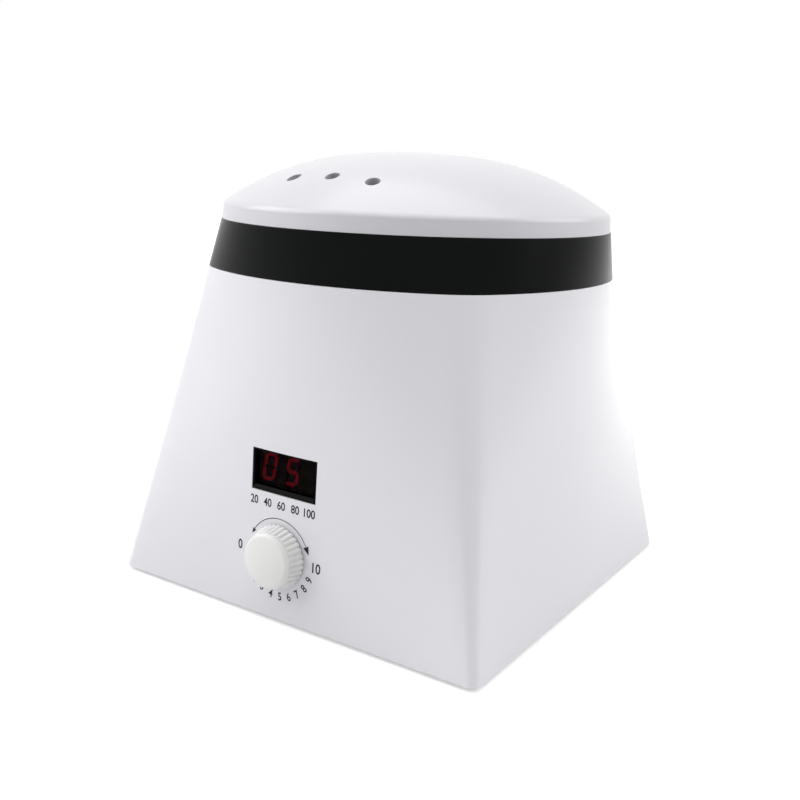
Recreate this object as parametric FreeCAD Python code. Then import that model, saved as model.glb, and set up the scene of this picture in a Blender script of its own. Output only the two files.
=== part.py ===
import FreeCAD, Part
import math
import os
from FreeCAD import Vector

os.makedirs("parts", exist_ok=True)

# Housing: square at the foot, round at the top. The origin is on the table under the lid's centre.
BASE_WIDTH = 160.0
BASE_CORNER_RADIUS = 3.5
INNER_CORNER_RADIUS = 1.0
TOP_RADIUS = 74.3
CORNER_FADE_ANGLE = 9.0
SHELL_HEIGHT = 119.2
BAND_HEIGHT = 17.6
WALL = 2.5
FLOOR_GAP = 1.5

# Clearances
FIT = 0.2
RUNNING_FIT = 0.05
SOFT_GAP = 0.3
LOOSE_GAP = 0.5

# Lid
LID_RIM_HEIGHT = 6.1
LID_RIM_INSET = 0.2
LID_RIM_DRAFT = 0.5
LID_DOME_HEIGHT = 20.2
LID_DOME_POWER = 2.55
LID_WALL = 2.2
LID_DOME_POINTS = 15
LID_SKIRT_DEPTH = 3.0
LID_SKIRT_WALL = 1.8
VENT_RADIUS = 3.0
VENT_SPACING = 16.8
VENT_OFFSET = 54.0
VENT_COUNT = 3

# Band ring: recess for the lid's skirt, shelf for the pot, spigot and hooks into the shell
BAND_LAND = 5.3
RING_RECESS_DEPTH = 7.0
RING_SHELF = 3.0
SHELF_WIDTH = 13.0
RING_WALL = 4.3
SPIGOT_DEPTH = 6.0
HOOK_WIDTH = 14.0
HOOK_LENGTH = 6.0
HOOK_THICKNESS = 1.6
CATCH_WIDTH = 20.0
CATCH_DEPTH = 1.0
CATCH_HEIGHT = 1.8

# Wax pot
POT_CLEARANCE = 2.5
POT_DEPTH = 68.0
POT_WALL = 1.5
POT_CORNER = 6.0
FLANGE_CLEARANCE = 3.0
GASKET_THICKNESS = 1.5
STUD_RADIUS = 2.0
STUD_LENGTH = 9.0

# Heater, insulation and heat shield
HEATER_LOW = 12.0
HEATER_HEIGHT = 34.0
HEATER_THICKNESS = 2.0
LUG_GAP = 8.0
LUG_LENGTH = 12.0
LUG_THICKNESS = 1.5
LUG_HEIGHT = 22.0
LUG_ANGLE = 45.0
CLAMP_SCREW_RADIUS = 1.5
CLAMP_SCREW_INSET = 4.8
CLAMP_SCREW_TAIL = 3.0
BLANKET_THICKNESS = 4.0
BLANKET_MARGIN = 6.0
SHIELD_THICKNESS = 0.8
SHIELD_DROP = 7.0
SHIELD_FLOOR_BORE = 18.0
SHIELD_FLANGE_CLEARANCE = 1.5
SHIELD_SCREW_COUNT = 3
SHIELD_BOSS_LENGTH = 5.0
SLOT_WIDTH = 16.0

# Screws, shared by every small self-tapping screw
SCREW_RADIUS = 1.4
SCREW_HEAD_RADIUS = 2.8
SCREW_HEAD_HEIGHT = 1.7
BOSS_RADIUS = 3.4

# Sensor plate under the pot
PLATE_LENGTH = 30.0
PLATE_WIDTH = 12.0
PLATE_THICKNESS = 0.8
SENSOR_RADIUS = 2.0
SENSOR_LENGTH = 12.0
SENSOR_OFFSET = 9.0
SENSOR_NUT_ACROSS_FLATS = 7.0

# Base plate and feet
BASE_PLATE_THICKNESS = 3.0
BASE_PLATE_RECESS = 1.0
FOOT_RADIUS = 6.5
FOOT_INSET = 24.0
FOOT_POCKET = 1.0
PILOT_FLOOR = 1.0
CORNER_BOSS_INSET = 12.0
CORNER_BOSS_HEIGHT = 12.0
COUNTERBORE_DEPTH = 2.0
RIB_THICKNESS = 2.0
VENT_SLOT_LENGTH = 34.0
VENT_SLOT_WIDTH = 3.0
VENT_SLOT_PITCH = 7.0
VENT_SLOT_COUNT = 7

# Front panel: heights run up the face from the shell's bottom edge, offsets to the right of its middle
WINDOW_WIDTH = 28.6
WINDOW_HEIGHT = 15.1
WINDOW_CENTRE = 53.1
WINDOW_OFFSET = -0.4
BEZEL_SIDE = 0.7
BEZEL_LOWER = 1.7
BEZEL_RECESS = 0.4
BEZEL_DEPTH = 4.0
BEZEL_LIP = 1.5
BEZEL_LIP_SETBACK = 1.0
LENS_RECESS = 1.0
LENS_THICKNESS = 1.5
DIGIT_HEIGHT = 10.16
DIGIT_WIDTH = 5.7
DIGIT_PITCH = 10.16
DIGIT_SLANT = 10.0
DIGIT_CENTRE = 54.1
DIGIT_OFFSET = -3.2
SEGMENT_WIDTH = 1.2
SEGMENT_GAP = 0.18
SEGMENT_THICKNESS = 0.2
MODULE_MARGIN = 0.3
KNOB_CENTRE = 23.6
KNOB_OFFSET = -1.0
KNOB_BASE_RADIUS = 11.6
KNOB_FACE_RADIUS = 10.3
KNOB_HEIGHT = 8.6
KNOB_CROWN = 0.9
KNOB_EDGE = 0.9
KNOB_GAP = 0.6
KNOB_RIBS = 34
KNOB_RIB_DEPTH = 0.65
KNOB_CAVITY_RADIUS = 8.0
KNOB_CAVITY_DEPTH = 4.4
SHAFT_RADIUS = 3.0
SHAFT_FLAT = 1.5
SHAFT_END_WALL = 1.4
BUSH_RADIUS = 3.5
BUSH_STAND = 3.4
NUT_ACROSS_FLATS = 10.0
NUT_THICKNESS = 2.0
WASHER_RADIUS = 6.0
WASHER_THICKNESS = 0.5
POT_BODY_WIDTH = 16.0
POT_BODY_HEIGHT = 18.0

# Circuit boards
BOARD_THICKNESS = 1.6
CONTROL_BOARD_DEPTH = 10.4
CONTROL_BOARD_WIDTH = 60.0
CONTROL_BOARD_LOW = 7.0
CONTROL_BOARD_HIGH = 66.0
CONTROL_SCREW_INSET = 5.0
POWER_BOARD_WIDTH = 84.0
POWER_BOARD_LENGTH = 56.0
POWER_BOARD_CENTRE_Y = 18.0
POWER_SCREW_INSET = 5.0
STANDOFF_HEIGHT = 5.0

# Parts on the power board, their centres placed from its nearest two edges
RELAY_SIZE = (19.0, 15.5, 15.5)
RELAY_INSET = (16.0, 16.0)
CORE_SIZE = (30.0, 14.0, 22.0)
BOBBIN_SIZE = (20.0, 24.0, 15.0)
TRANSFORMER_INSET = (18.0, 26.0)
CAPACITOR_RADIUS = 6.3
CAPACITOR_HEIGHT = 20.0
CAPACITOR_INSET = (40.0, 32.0)
FUSE_RADIUS = 2.5
FUSE_LENGTH = 20.0
FUSE_INSET = (16.0, 22.0)
FUSE_LIFT = 2.0
CLIP_THICKNESS = 0.6
CLIP_WIDTH = 5.0
CLIP_MOUTH = 4.0
TERMINAL_SIZE = (36.0, 8.0, 12.0)
TERMINAL_INSET = (36.0, 6.0)
TERMINAL_WAYS = 6
TERMINAL_WELL = 2.0
TERMINAL_WELL_RADIUS = 2.0
TERMINAL_ENTRY_HEIGHT = 4.0
HEADER_SIZE = (14.0, 6.0, 8.0)
HEADER_INSET = (32.0, 5.0)

# Mains inlet in the rear face, heights as on the front
INLET_CENTRE = 22.0
INLET_FLANGE_WIDTH = 34.0
INLET_FLANGE_HEIGHT = 16.0
INLET_FLANGE_THICKNESS = 1.5
INLET_FLANGE_SEAT = 0.1
INLET_BODY_WIDTH = 21.0
INLET_BODY_HEIGHT = 13.0
INLET_BODY_DEPTH = 16.0
SOCKET_WIDTH = 16.4
SOCKET_HEIGHT = 8.8
SOCKET_DEPTH = 12.5
PIN_RADIUS = 1.2
PIN_SPACING = 8.6
PIN_STAND = 8.5
PIN_TAIL = 2.0
INLET_SCREW_SPACING = 27.0

# Leads inside the housing
POWER_LEAD_RADIUS = 1.1
PROBE_LEAD_RADIUS = 0.6
RIBBON_WIDTH = 10.0
RIBBON_THICKNESS = 1.0
RIBBON_START = 24.0
RIBBON_RUN = 16.0
PROBE_LEAD_HEIGHT = 42.0
PROBE_LEAD_RUN = 8.0
LEAD_EXIT = 5.0
HEATER_LEAD_TURN = 24.0
ARC_SHARE = 0.45

# How far a cutting tool runs past the face that it opens
PAST = 1.0

# Heights above the table that follow from the sizes
SHELL_LOW = FLOOR_GAP
SHELL_TOP = SHELL_LOW + SHELL_HEIGHT
BAND_TOP = SHELL_TOP + BAND_HEIGHT
BODY_HEIGHT = SHELL_HEIGHT + BAND_HEIGHT
SHELF_TOP = BAND_TOP - RING_RECESS_DEPTH
SHELF_LOW = SHELF_TOP - RING_SHELF
FLANGE_LOW = SHELF_TOP + GASKET_THICKNESS
FLANGE_TOP = FLANGE_LOW + POT_WALL
RING_RECESS_RADIUS = TOP_RADIUS - BAND_LAND
RING_SHELF_BORE = RING_RECESS_RADIUS - SHELF_WIDTH
RING_INNER_RADIUS = TOP_RADIUS - RING_WALL
POT_OUTER = RING_SHELF_BORE - POT_CLEARANCE
POT_RADIUS = POT_OUTER - POT_WALL
FLANGE_RADIUS = RING_RECESS_RADIUS - FLANGE_CLEARANCE
POT_FLOOR = FLANGE_TOP - POT_DEPTH
POT_LOW = POT_FLOOR - POT_WALL
HEATER_Z0 = POT_LOW + HEATER_LOW
HEATER_Z1 = HEATER_Z0 + HEATER_HEIGHT
HEATER_INNER = POT_OUTER + RUNNING_FIT
HEATER_OUTER = HEATER_INNER + HEATER_THICKNESS
BLANKET_INNER = HEATER_OUTER + SOFT_GAP
BLANKET_OUTER = BLANKET_INNER + BLANKET_THICKNESS
SHIELD_INNER = BLANKET_OUTER + SOFT_GAP
SHIELD_OUTER = SHIELD_INNER + SHIELD_THICKNESS
SHIELD_FLANGE_RADIUS = RING_INNER_RADIUS - SHIELD_FLANGE_CLEARANCE
SHIELD_SCREW_CIRCLE = (SHIELD_OUTER + SHIELD_FLANGE_RADIUS) / 2
SHIELD_TOP = SHELF_LOW - SHIELD_BOSS_LENGTH
SHIELD_FLOOR = POT_LOW - SHIELD_DROP
PLATE_BOTTOM = SHELL_LOW + BASE_PLATE_RECESS
PLATE_TOP = PLATE_BOTTOM + BASE_PLATE_THICKNESS
POWER_BOARD_LOW = PLATE_TOP + STANDOFF_HEIGHT
POWER_BOARD_TOP = POWER_BOARD_LOW + BOARD_THICKNESS
POWER_BOARD_RIGHT = POWER_BOARD_WIDTH / 2
POWER_BOARD_LEFT = -POWER_BOARD_RIGHT
POWER_BOARD_FRONT = POWER_BOARD_CENTRE_Y - POWER_BOARD_LENGTH / 2
POWER_BOARD_REAR = POWER_BOARD_CENTRE_Y + POWER_BOARD_LENGTH / 2
RELAY_PLACE = (POWER_BOARD_RIGHT - RELAY_INSET[0], POWER_BOARD_FRONT + RELAY_INSET[1])
TRANSFORMER_PLACE = (POWER_BOARD_LEFT + TRANSFORMER_INSET[0], POWER_BOARD_REAR - TRANSFORMER_INSET[1])
CAPACITOR_PLACE = (POWER_BOARD_LEFT + CAPACITOR_INSET[0], POWER_BOARD_REAR - CAPACITOR_INSET[1])
FUSE_PLACE = (POWER_BOARD_RIGHT - FUSE_INSET[0], POWER_BOARD_REAR - FUSE_INSET[1])
TERMINAL_PLACE = (POWER_BOARD_RIGHT - TERMINAL_INSET[0], POWER_BOARD_REAR - TERMINAL_INSET[1])
HEADER_PLACE = (POWER_BOARD_LEFT + HEADER_INSET[0], POWER_BOARD_FRONT + HEADER_INSET[1])
SHAFT_INSIDE = CONTROL_BOARD_DEPTH - SHAFT_END_WALL
CORNER_BOSS_PLACE = BASE_WIDTH / 2 - CORNER_BOSS_INSET
FOOT_PLACE = BASE_WIDTH / 2 - FOOT_INSET
FACE_TILT = math.degrees(math.atan((BASE_WIDTH / 2 - TOP_RADIUS) / BODY_HEIGHT))
LID_RADIUS = TOP_RADIUS - LID_RIM_INSET
DOME_LOW = BAND_TOP + LID_RIM_HEIGHT
DOME_RADIUS = LID_RADIUS - LID_RIM_DRAFT


def save(name, shape):
    shape.exportStep("parts/" + name + ".step")


def box(x0, x1, y0, y1, z0, z1):
    return Part.makeBox(x1 - x0, y1 - y0, z1 - z0, Vector(x0, y0, z0))


def block(size, place, z):
    """Box of the given size, centred on a place, standing on a height."""
    return box(place[0] - size[0] / 2, place[0] + size[0] / 2,
               place[1] - size[1] / 2, place[1] + size[1] / 2, z, z + size[2])


def rod(radius, start, end):
    run = end - start
    return Part.makeCylinder(radius, run.Length, start, run)


def upright(radius, x, y, z0, z1):
    return rod(radius, Vector(x, y, z0), Vector(x, y, z1))


def ring(outer, inner, z0, z1):
    return upright(outer, 0, 0, z0, z1).cut(upright(inner, 0, 0, z0 - PAST, z1 + PAST))


def turned(points):
    """Solid of revolution about the upright axis, from an outline of radius and height pairs."""
    outline = [Vector(r, 0, z) for r, z in points]
    face = Part.Face(Part.makePolygon(outline + [outline[0]]))
    return face.revolve(Vector(0, 0, 0), Vector(0, 0, 1), 360)


def polar(radius, angle, z=0.0):
    turn = math.radians(angle)
    return Vector(radius * math.cos(turn), radius * math.sin(turn), z)


def four_ways(x, y):
    return [(x, y), (-x, y), (-x, -y), (x, -y)]


def group(solids):
    return Part.makeCompound(solids)


def joined(solids):
    return solids[0].multiFuse(solids[1:]).removeSplitter()


def foot_outline(half, radius, z):
    """Rounded square whose side and corner edges alternate, from the front face round to the left."""
    edges = []
    inner = half - radius
    for quarter in range(4):
        start = -90.0 + 90.0 * quarter
        out = polar(1, start)
        along = polar(1, start + 90)
        corner = (out + along) * inner
        first = out * half - along * inner
        last = out * half + along * inner
        middle = corner + (out + along).normalize() * radius
        beyond = corner + along * radius
        lift = Vector(0, 0, z)
        edges.append(Part.LineSegment(first + lift, last + lift).toShape())
        edges.append(Part.Arc(last + lift, middle + lift, beyond + lift).toShape())
    return Part.Wire(edges)


def round_outline(radius, z):
    """Circle split so that a short arc stands over each corner of the foot."""
    edges = []
    half_fade = CORNER_FADE_ANGLE / 2
    for quarter in range(4):
        start = -135.0 + 90.0 * quarter
        side_arc = (start + half_fade, start + 45, start + 90 - half_fade)
        corner_arc = (start + 90 - half_fade, start + 90, start + 90 + half_fade)
        for arc in (side_arc, corner_arc):
            ends = [polar(radius, angle, z) for angle in arc]
            edges.append(Part.Arc(*ends).toShape())
    return Part.Wire(edges)


def tapered_body(inset):
    """The whole taper from foot to band top, drawn in all round by an inset."""
    corner = max(BASE_CORNER_RADIUS - inset, INNER_CORNER_RADIUS)
    foot = foot_outline(BASE_WIDTH / 2 - inset, corner, SHELL_LOW)
    top = round_outline(TOP_RADIUS - inset, BAND_TOP)
    return Part.makeLoft([foot, top], True, True)


def slab(z0, z1):
    reach = BASE_WIDTH
    return box(-reach, reach, -reach, reach, z0, z1)


def on_front(shape):
    """Places a shape drawn with x right, y up the face and z out of it on the front face."""
    placed = shape.copy()
    placed.rotate(Vector(0, 0, 0), Vector(1, 0, 0), 90 - FACE_TILT)
    placed.translate(Vector(0, -BASE_WIDTH / 2, SHELL_LOW))
    return placed


def on_rear(shape):
    placed = on_front(shape)
    placed.rotate(Vector(0, 0, 0), Vector(0, 0, 1), 180)
    return placed


def screw(length):
    """Pan-head screw pointing down from the underside of its head at the origin."""
    shank = upright(SCREW_RADIUS, 0, 0, -length, 0)
    head = upright(SCREW_HEAD_RADIUS, 0, 0, 0, SCREW_HEAD_HEIGHT)
    edges = [e for e in head.Edges if e.BoundBox.ZMin > SCREW_HEAD_HEIGHT - FIT]
    head = head.makeFillet(SCREW_HEAD_HEIGHT / 2, edges)
    slot = SCREW_RADIUS / 4
    cross = box(-SCREW_RADIUS, SCREW_RADIUS, -slot, slot, SCREW_HEAD_HEIGHT / 2, SCREW_HEAD_HEIGHT + PAST)
    turned_cross = cross.copy()
    turned_cross.rotate(Vector(0, 0, 0), Vector(0, 0, 1), 90)
    return joined([shank, head]).cut(cross).cut(turned_cross)


def placed_screw(length, place, upwards=False):
    piece = screw(length)
    if upwards:
        piece.rotate(Vector(0, 0, 0), Vector(1, 0, 0), 180)
    piece.translate(place)
    return piece


def routed(points):
    """Path along straight runs joined by tangent arcs, each as large as its two runs allow."""
    edges = []
    at = points[0]
    for before_point, corner, after_point in zip(points, points[1:], points[2:]):
        before = corner - before_point
        after = after_point - corner
        trim = ARC_SHARE * min(before.Length, after.Length)
        bend = trim / math.tan(before.getAngle(after) / 2)
        into = Vector(before).normalize()
        away = Vector(after).normalize()
        start = corner - into * trim
        end = corner + away * trim
        centre = start + (away - into * into.dot(away)).normalize() * bend
        middle = centre + ((start + end) * 0.5 - centre).normalize() * bend
        edges.append(Part.LineSegment(at, start).toShape())
        edges.append(Part.Arc(start, middle, end).toShape())
        print("bend radius %.1f" % bend)
        at = end
    edges.append(Part.LineSegment(at, points[-1]).toShape())
    return Part.Wire(edges)


def swept(section, path, area):
    tube = path.makePipeShell([section], True, False)
    share = tube.Volume / (area * path.Length)
    print("lead length %.1f, volume over section times length %.4f" % (path.Length, share))
    return tube


def lead(points, radius):
    """Round lead along straight runs joined by tangent arcs."""
    section = Part.Wire(Part.makeCircle(radius, points[0], points[1] - points[0]))
    return swept(section, routed(points), math.pi * radius ** 2)


def at_window(shape):
    """Places a shape drawn round the panel's middle line in line with the window."""
    moved = shape.copy()
    moved.translate(Vector(WINDOW_OFFSET, 0, 0))
    return on_front(moved)


def at_knob(shape):
    """Places a shape drawn round the origin on the knob's axis."""
    moved = shape.copy()
    moved.translate(Vector(KNOB_OFFSET, KNOB_CENTRE, 0))
    return on_front(moved)


def window_box(half_width, low, high, z0, z1):
    return at_window(box(-half_width, half_width, low, high, z0, z1))


def control_screw_places():
    x = CONTROL_BOARD_WIDTH / 2 - CONTROL_SCREW_INSET
    low = CONTROL_BOARD_LOW + CONTROL_SCREW_INSET
    high = CONTROL_BOARD_HIGH - CONTROL_SCREW_INSET
    return [(x, low), (-x, low), (-x, high), (x, high)]


def power_screw_places():
    x = POWER_BOARD_WIDTH / 2 - POWER_SCREW_INSET
    y = POWER_BOARD_LENGTH / 2 - POWER_SCREW_INSET
    return [(px, py + POWER_BOARD_CENTRE_Y) for px, py in four_ways(x, y)]


def shield_screw_places(z):
    step = 360.0 / SHIELD_SCREW_COUNT
    return [polar(SHIELD_SCREW_CIRCLE, -90 + step * k, z) for k in range(SHIELD_SCREW_COUNT)]


def outer_shell():
    shell = tapered_body(0).common(slab(SHELL_LOW, SHELL_TOP)).cut(tapered_body(WALL))
    inside = tapered_body(WALL / 2)
    extras = []
    for x, y in four_ways(CORNER_BOSS_PLACE, CORNER_BOSS_PLACE):
        boss_top = PLATE_TOP + CORNER_BOSS_HEIGHT
        reach = BASE_WIDTH / 2
        half = RIB_THICKNESS / 2
        extras.append(upright(BOSS_RADIUS, x, y, PLATE_TOP, boss_top))
        across = box(min(x, math.copysign(reach, x)), max(x, math.copysign(reach, x)),
                     y - half, y + half, PLATE_TOP, boss_top)
        along = box(x - half, x + half, min(y, math.copysign(reach, y)),
                    max(y, math.copysign(reach, y)), PLATE_TOP, boss_top)
        extras += [across, along]
    for x, y in control_screw_places():
        boss = upright(BOSS_RADIUS, x, y, -CONTROL_BOARD_DEPTH, 0)
        extras.append(on_front(boss))
    catch_top = SHELL_TOP - SPIGOT_DEPTH - LOOSE_GAP
    band = tapered_body(WALL / 2).cut(tapered_body(WALL + CATCH_DEPTH))
    for turn in range(4):
        window = box(-CATCH_WIDTH / 2, CATCH_WIDTH / 2, -BASE_WIDTH, 0,
                     catch_top - CATCH_HEIGHT, catch_top)
        window.rotate(Vector(0, 0, 0), Vector(0, 0, 1), 90 * turn)
        extras.append(band.common(window))
    extras = [e.common(inside) for e in extras]
    shell = joined([shell] + extras)
    for x, y in four_ways(CORNER_BOSS_PLACE, CORNER_BOSS_PLACE):
        depth = CORNER_BOSS_HEIGHT - RIB_THICKNESS
        shell = shell.cut(upright(SCREW_RADIUS, x, y, PLATE_TOP - PAST, PLATE_TOP + depth))
    for x, y in control_screw_places():
        pilot = upright(SCREW_RADIUS, x, y, -CONTROL_BOARD_DEPTH - PAST, -WALL - BOSS_RADIUS)
        shell = shell.cut(on_front(pilot))
    window = window_box(WINDOW_WIDTH / 2, WINDOW_CENTRE - WINDOW_HEIGHT / 2,
                        WINDOW_CENTRE + WINDOW_HEIGHT / 2, -2 * WALL, 2 * WALL)
    bush_hole = at_knob(upright(BUSH_RADIUS + FIT, 0, 0, -2 * WALL, 2 * WALL))
    half_w = INLET_BODY_WIDTH / 2 + FIT
    half_h = INLET_BODY_HEIGHT / 2 + FIT
    inlet_hole = on_rear(box(-half_w, half_w, INLET_CENTRE - half_h, INLET_CENTRE + half_h,
                             -2 * WALL, 2 * WALL))
    shell = shell.cut(window).cut(bush_hole).cut(inlet_hole)
    for side in (-1, 1):
        x = side * INLET_SCREW_SPACING / 2
        shell = shell.cut(on_rear(upright(SCREW_RADIUS, x, INLET_CENTRE, -2 * WALL, 2 * WALL)))
    return shell


def band_ring():
    band = tapered_body(0).common(slab(SHELL_TOP, BAND_TOP))
    spigot = tapered_body(WALL + FIT).common(slab(SHELL_TOP - SPIGOT_DEPTH, SHELL_TOP))
    ring_body = joined([band, spigot])
    ring_body = ring_body.cut(upright(RING_RECESS_RADIUS, 0, 0, SHELF_TOP, BAND_TOP + PAST))
    ring_body = ring_body.cut(upright(RING_SHELF_BORE, 0, 0, SHELL_LOW, BAND_TOP))
    ring_body = ring_body.cut(upright(RING_INNER_RADIUS, 0, 0, SHELL_LOW, SHELF_LOW))
    bosses = [upright(BOSS_RADIUS, p.x, p.y, SHIELD_TOP, SHELF_LOW) for p in shield_screw_places(0)]
    behind_catch = WALL + CATCH_DEPTH + FIT
    tongue_wall = tapered_body(behind_catch).cut(tapered_body(behind_catch + HOOK_THICKNESS))
    barb_wall = tapered_body(WALL + FIT).cut(tapered_body(behind_catch + HOOK_THICKNESS))
    spigot_low = SHELL_TOP - SPIGOT_DEPTH
    barb_top = spigot_low - LOOSE_GAP - CATCH_HEIGHT - FIT
    hooks = []
    for turn in range(4):
        for wall, top in ((tongue_wall, spigot_low + PAST), (barb_wall, barb_top)):
            strip = box(-HOOK_WIDTH / 2, HOOK_WIDTH / 2, -BASE_WIDTH, 0, spigot_low - HOOK_LENGTH, top)
            strip.rotate(Vector(0, 0, 0), Vector(0, 0, 1), 90 * turn)
            hooks.append(wall.common(strip))
    ring_body = joined([ring_body] + bosses + hooks)
    for p in shield_screw_places(0):
        ring_body = ring_body.cut(upright(SCREW_RADIUS, p.x, p.y, SHIELD_TOP - PAST, SHELF_LOW + PAST))
    return ring_body


def inner_pot():
    outer = [(0, POT_LOW), (POT_OUTER, POT_LOW), (POT_OUTER, FLANGE_LOW),
             (FLANGE_RADIUS, FLANGE_LOW), (FLANGE_RADIUS, FLANGE_TOP),
             (0, FLANGE_TOP)]
    body = turned(outer)
    edges = [e for e in body.Edges if e.BoundBox.ZMax < POT_LOW + FIT and len(e.Vertexes) == 1]
    body = body.makeFillet(POT_CORNER + POT_WALL, edges)
    well = upright(POT_RADIUS, 0, 0, POT_FLOOR, FLANGE_TOP + PAST)
    well_edges = [e for e in well.Edges if e.BoundBox.ZMax < POT_FLOOR + FIT]
    well = well.makeFillet(POT_CORNER, well_edges)
    pot = body.cut(well)
    lip = [e for e in pot.Edges if e.BoundBox.ZMin > FLANGE_TOP - FIT
           and abs(e.BoundBox.XMax - POT_RADIUS) < FIT]
    pot = pot.makeFillet(POT_WALL / 2, lip)
    stud = upright(STUD_RADIUS, 0, 0, POT_LOW - STUD_LENGTH, POT_LOW + POT_WALL / 2)
    return joined([pot, stud])


def pot_gasket():
    return ring(FLANGE_RADIUS, RING_SHELF_BORE, SHELF_TOP, FLANGE_LOW)


def at_lugs(shape):
    placed = shape.copy()
    placed.rotate(Vector(0, 0, 0), Vector(0, 0, 1), LUG_ANGLE)
    return placed


def lug_middle():
    return (HEATER_Z0 + HEATER_Z1) / 2


def clamp_screw_radius_place():
    return HEATER_OUTER + LUG_LENGTH - CLAMP_SCREW_INSET


def heater_band():
    half_gap = LUG_GAP / 2
    sleeve = ring(HEATER_OUTER, HEATER_INNER, HEATER_Z0, HEATER_Z1)
    sleeve = sleeve.cut(at_lugs(box(0, BASE_WIDTH, -half_gap, half_gap, HEATER_Z0 - PAST, HEATER_Z1 + PAST)))
    lugs = []
    for side in (-1, 1):
        inner_y = side * half_gap
        outer_y = side * (half_gap + LUG_THICKNESS)
        lug = box(HEATER_OUTER - HEATER_THICKNESS / 2, HEATER_OUTER + LUG_LENGTH,
                  min(inner_y, outer_y), max(inner_y, outer_y),
                  lug_middle() - LUG_HEIGHT / 2, lug_middle() + LUG_HEIGHT / 2)
        lugs.append(at_lugs(lug))
    band = joined([sleeve] + lugs)
    x = clamp_screw_radius_place()
    reach = half_gap + LUG_THICKNESS + PAST
    for z in clamp_screw_heights():
        hole = rod(CLAMP_SCREW_RADIUS + FIT, Vector(x, -reach, z), Vector(x, reach, z))
        band = band.cut(at_lugs(hole))
    return band


def clamp_screw_heights():
    return [lug_middle() - LUG_HEIGHT / 4, lug_middle() + LUG_HEIGHT / 4]


def hexagon(across_flats, z0, z1):
    corner = across_flats / math.sqrt(3)
    points = [polar(corner, 60 * k, z0) for k in range(7)]
    return Part.Face(Part.makePolygon(points)).extrude(Vector(0, 0, z1 - z0))


def clamp_hardware():
    x = clamp_screw_radius_place()
    outer = LUG_GAP / 2 + LUG_THICKNESS
    screws = []
    nuts = []
    for z in clamp_screw_heights():
        shank = rod(CLAMP_SCREW_RADIUS, Vector(x, -outer, z), Vector(x, outer + CLAMP_SCREW_TAIL, z))
        head = rod(SCREW_HEAD_RADIUS, Vector(x, -outer - SCREW_HEAD_HEIGHT, z), Vector(x, -outer, z))
        screws.append(at_lugs(joined([shank, head])))
        nut = hexagon(2 * SCREW_HEAD_RADIUS, 0, SCREW_HEAD_HEIGHT)
        nut = nut.cut(upright(CLAMP_SCREW_RADIUS + RUNNING_FIT, 0, 0, -PAST, SCREW_HEAD_HEIGHT + PAST))
        nut.rotate(Vector(0, 0, 0), Vector(1, 0, 0), -90)
        nut.translate(Vector(x, outer, z))
        nuts.append(at_lugs(nut))
    return group(screws), group(nuts)


def lug_slot(z0, z1):
    return at_lugs(box(0, BASE_WIDTH, -SLOT_WIDTH / 2, SLOT_WIDTH / 2, z0, z1))


def slot_low():
    return lug_middle() - LUG_HEIGHT / 2 - BLANKET_THICKNESS


def insulation_blanket():
    low = HEATER_Z0 - BLANKET_MARGIN
    high = HEATER_Z1 + BLANKET_MARGIN
    blanket = ring(BLANKET_OUTER, BLANKET_INNER, low, high)
    return blanket.cut(lug_slot(slot_low(), high + PAST))


def insulation_pad():
    low = SHIELD_FLOOR + SHIELD_THICKNESS
    pad_radius = POT_OUTER - POT_CORNER - POT_WALL
    return ring(pad_radius, SHIELD_FLOOR_BORE + SOFT_GAP, low, POT_LOW - SOFT_GAP)


def heat_shield():
    wall = ring(SHIELD_OUTER, SHIELD_INNER, SHIELD_FLOOR, SHIELD_TOP)
    floor = ring(SHIELD_OUTER, SHIELD_FLOOR_BORE, SHIELD_FLOOR, SHIELD_FLOOR + SHIELD_THICKNESS)
    flange = ring(SHIELD_FLANGE_RADIUS, SHIELD_INNER, SHIELD_TOP - SHIELD_THICKNESS, SHIELD_TOP)
    shield = joined([wall, floor, flange])
    shield = shield.cut(lug_slot(slot_low(), SHIELD_TOP + PAST))
    for p in shield_screw_places(0):
        hole = upright(SCREW_RADIUS + FIT, p.x, p.y, SHIELD_TOP - SHIELD_THICKNESS - PAST, SHIELD_TOP + PAST)
        shield = shield.cut(hole)
    return shield


def heat_shield_screws():
    length = SHIELD_THICKNESS + SHIELD_BOSS_LENGTH
    z = SHIELD_TOP - SHIELD_THICKNESS
    return group([placed_screw(length, p, upwards=True) for p in shield_screw_places(z)])


def sensor_parts():
    plate_top = POT_LOW - 2 * SENSOR_RADIUS
    plate_low = plate_top - PLATE_THICKNESS
    plate = box(-PLATE_LENGTH / 2, PLATE_LENGTH / 2, -PLATE_WIDTH / 2, PLATE_WIDTH / 2,
                plate_low, plate_top)
    plate = plate.cut(upright(STUD_RADIUS + FIT, 0, 0, plate_low - PAST, plate_top + PAST))
    nut = hexagon(SENSOR_NUT_ACROSS_FLATS, plate_low - NUT_THICKNESS, plate_low)
    nut_low = plate_low - NUT_THICKNESS
    nut = nut.cut(upright(STUD_RADIUS + RUNNING_FIT, 0, 0, nut_low - PAST, plate_low + PAST))
    z = POT_LOW - SENSOR_RADIUS
    half = SENSOR_LENGTH / 2
    probe = rod(SENSOR_RADIUS, Vector(-SENSOR_OFFSET, -half, z), Vector(-SENSOR_OFFSET, half, z))
    cut_out = rod(SENSOR_RADIUS, Vector(SENSOR_OFFSET, -half, z), Vector(SENSOR_OFFSET, half, z))
    return plate, nut, probe, cut_out


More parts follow.
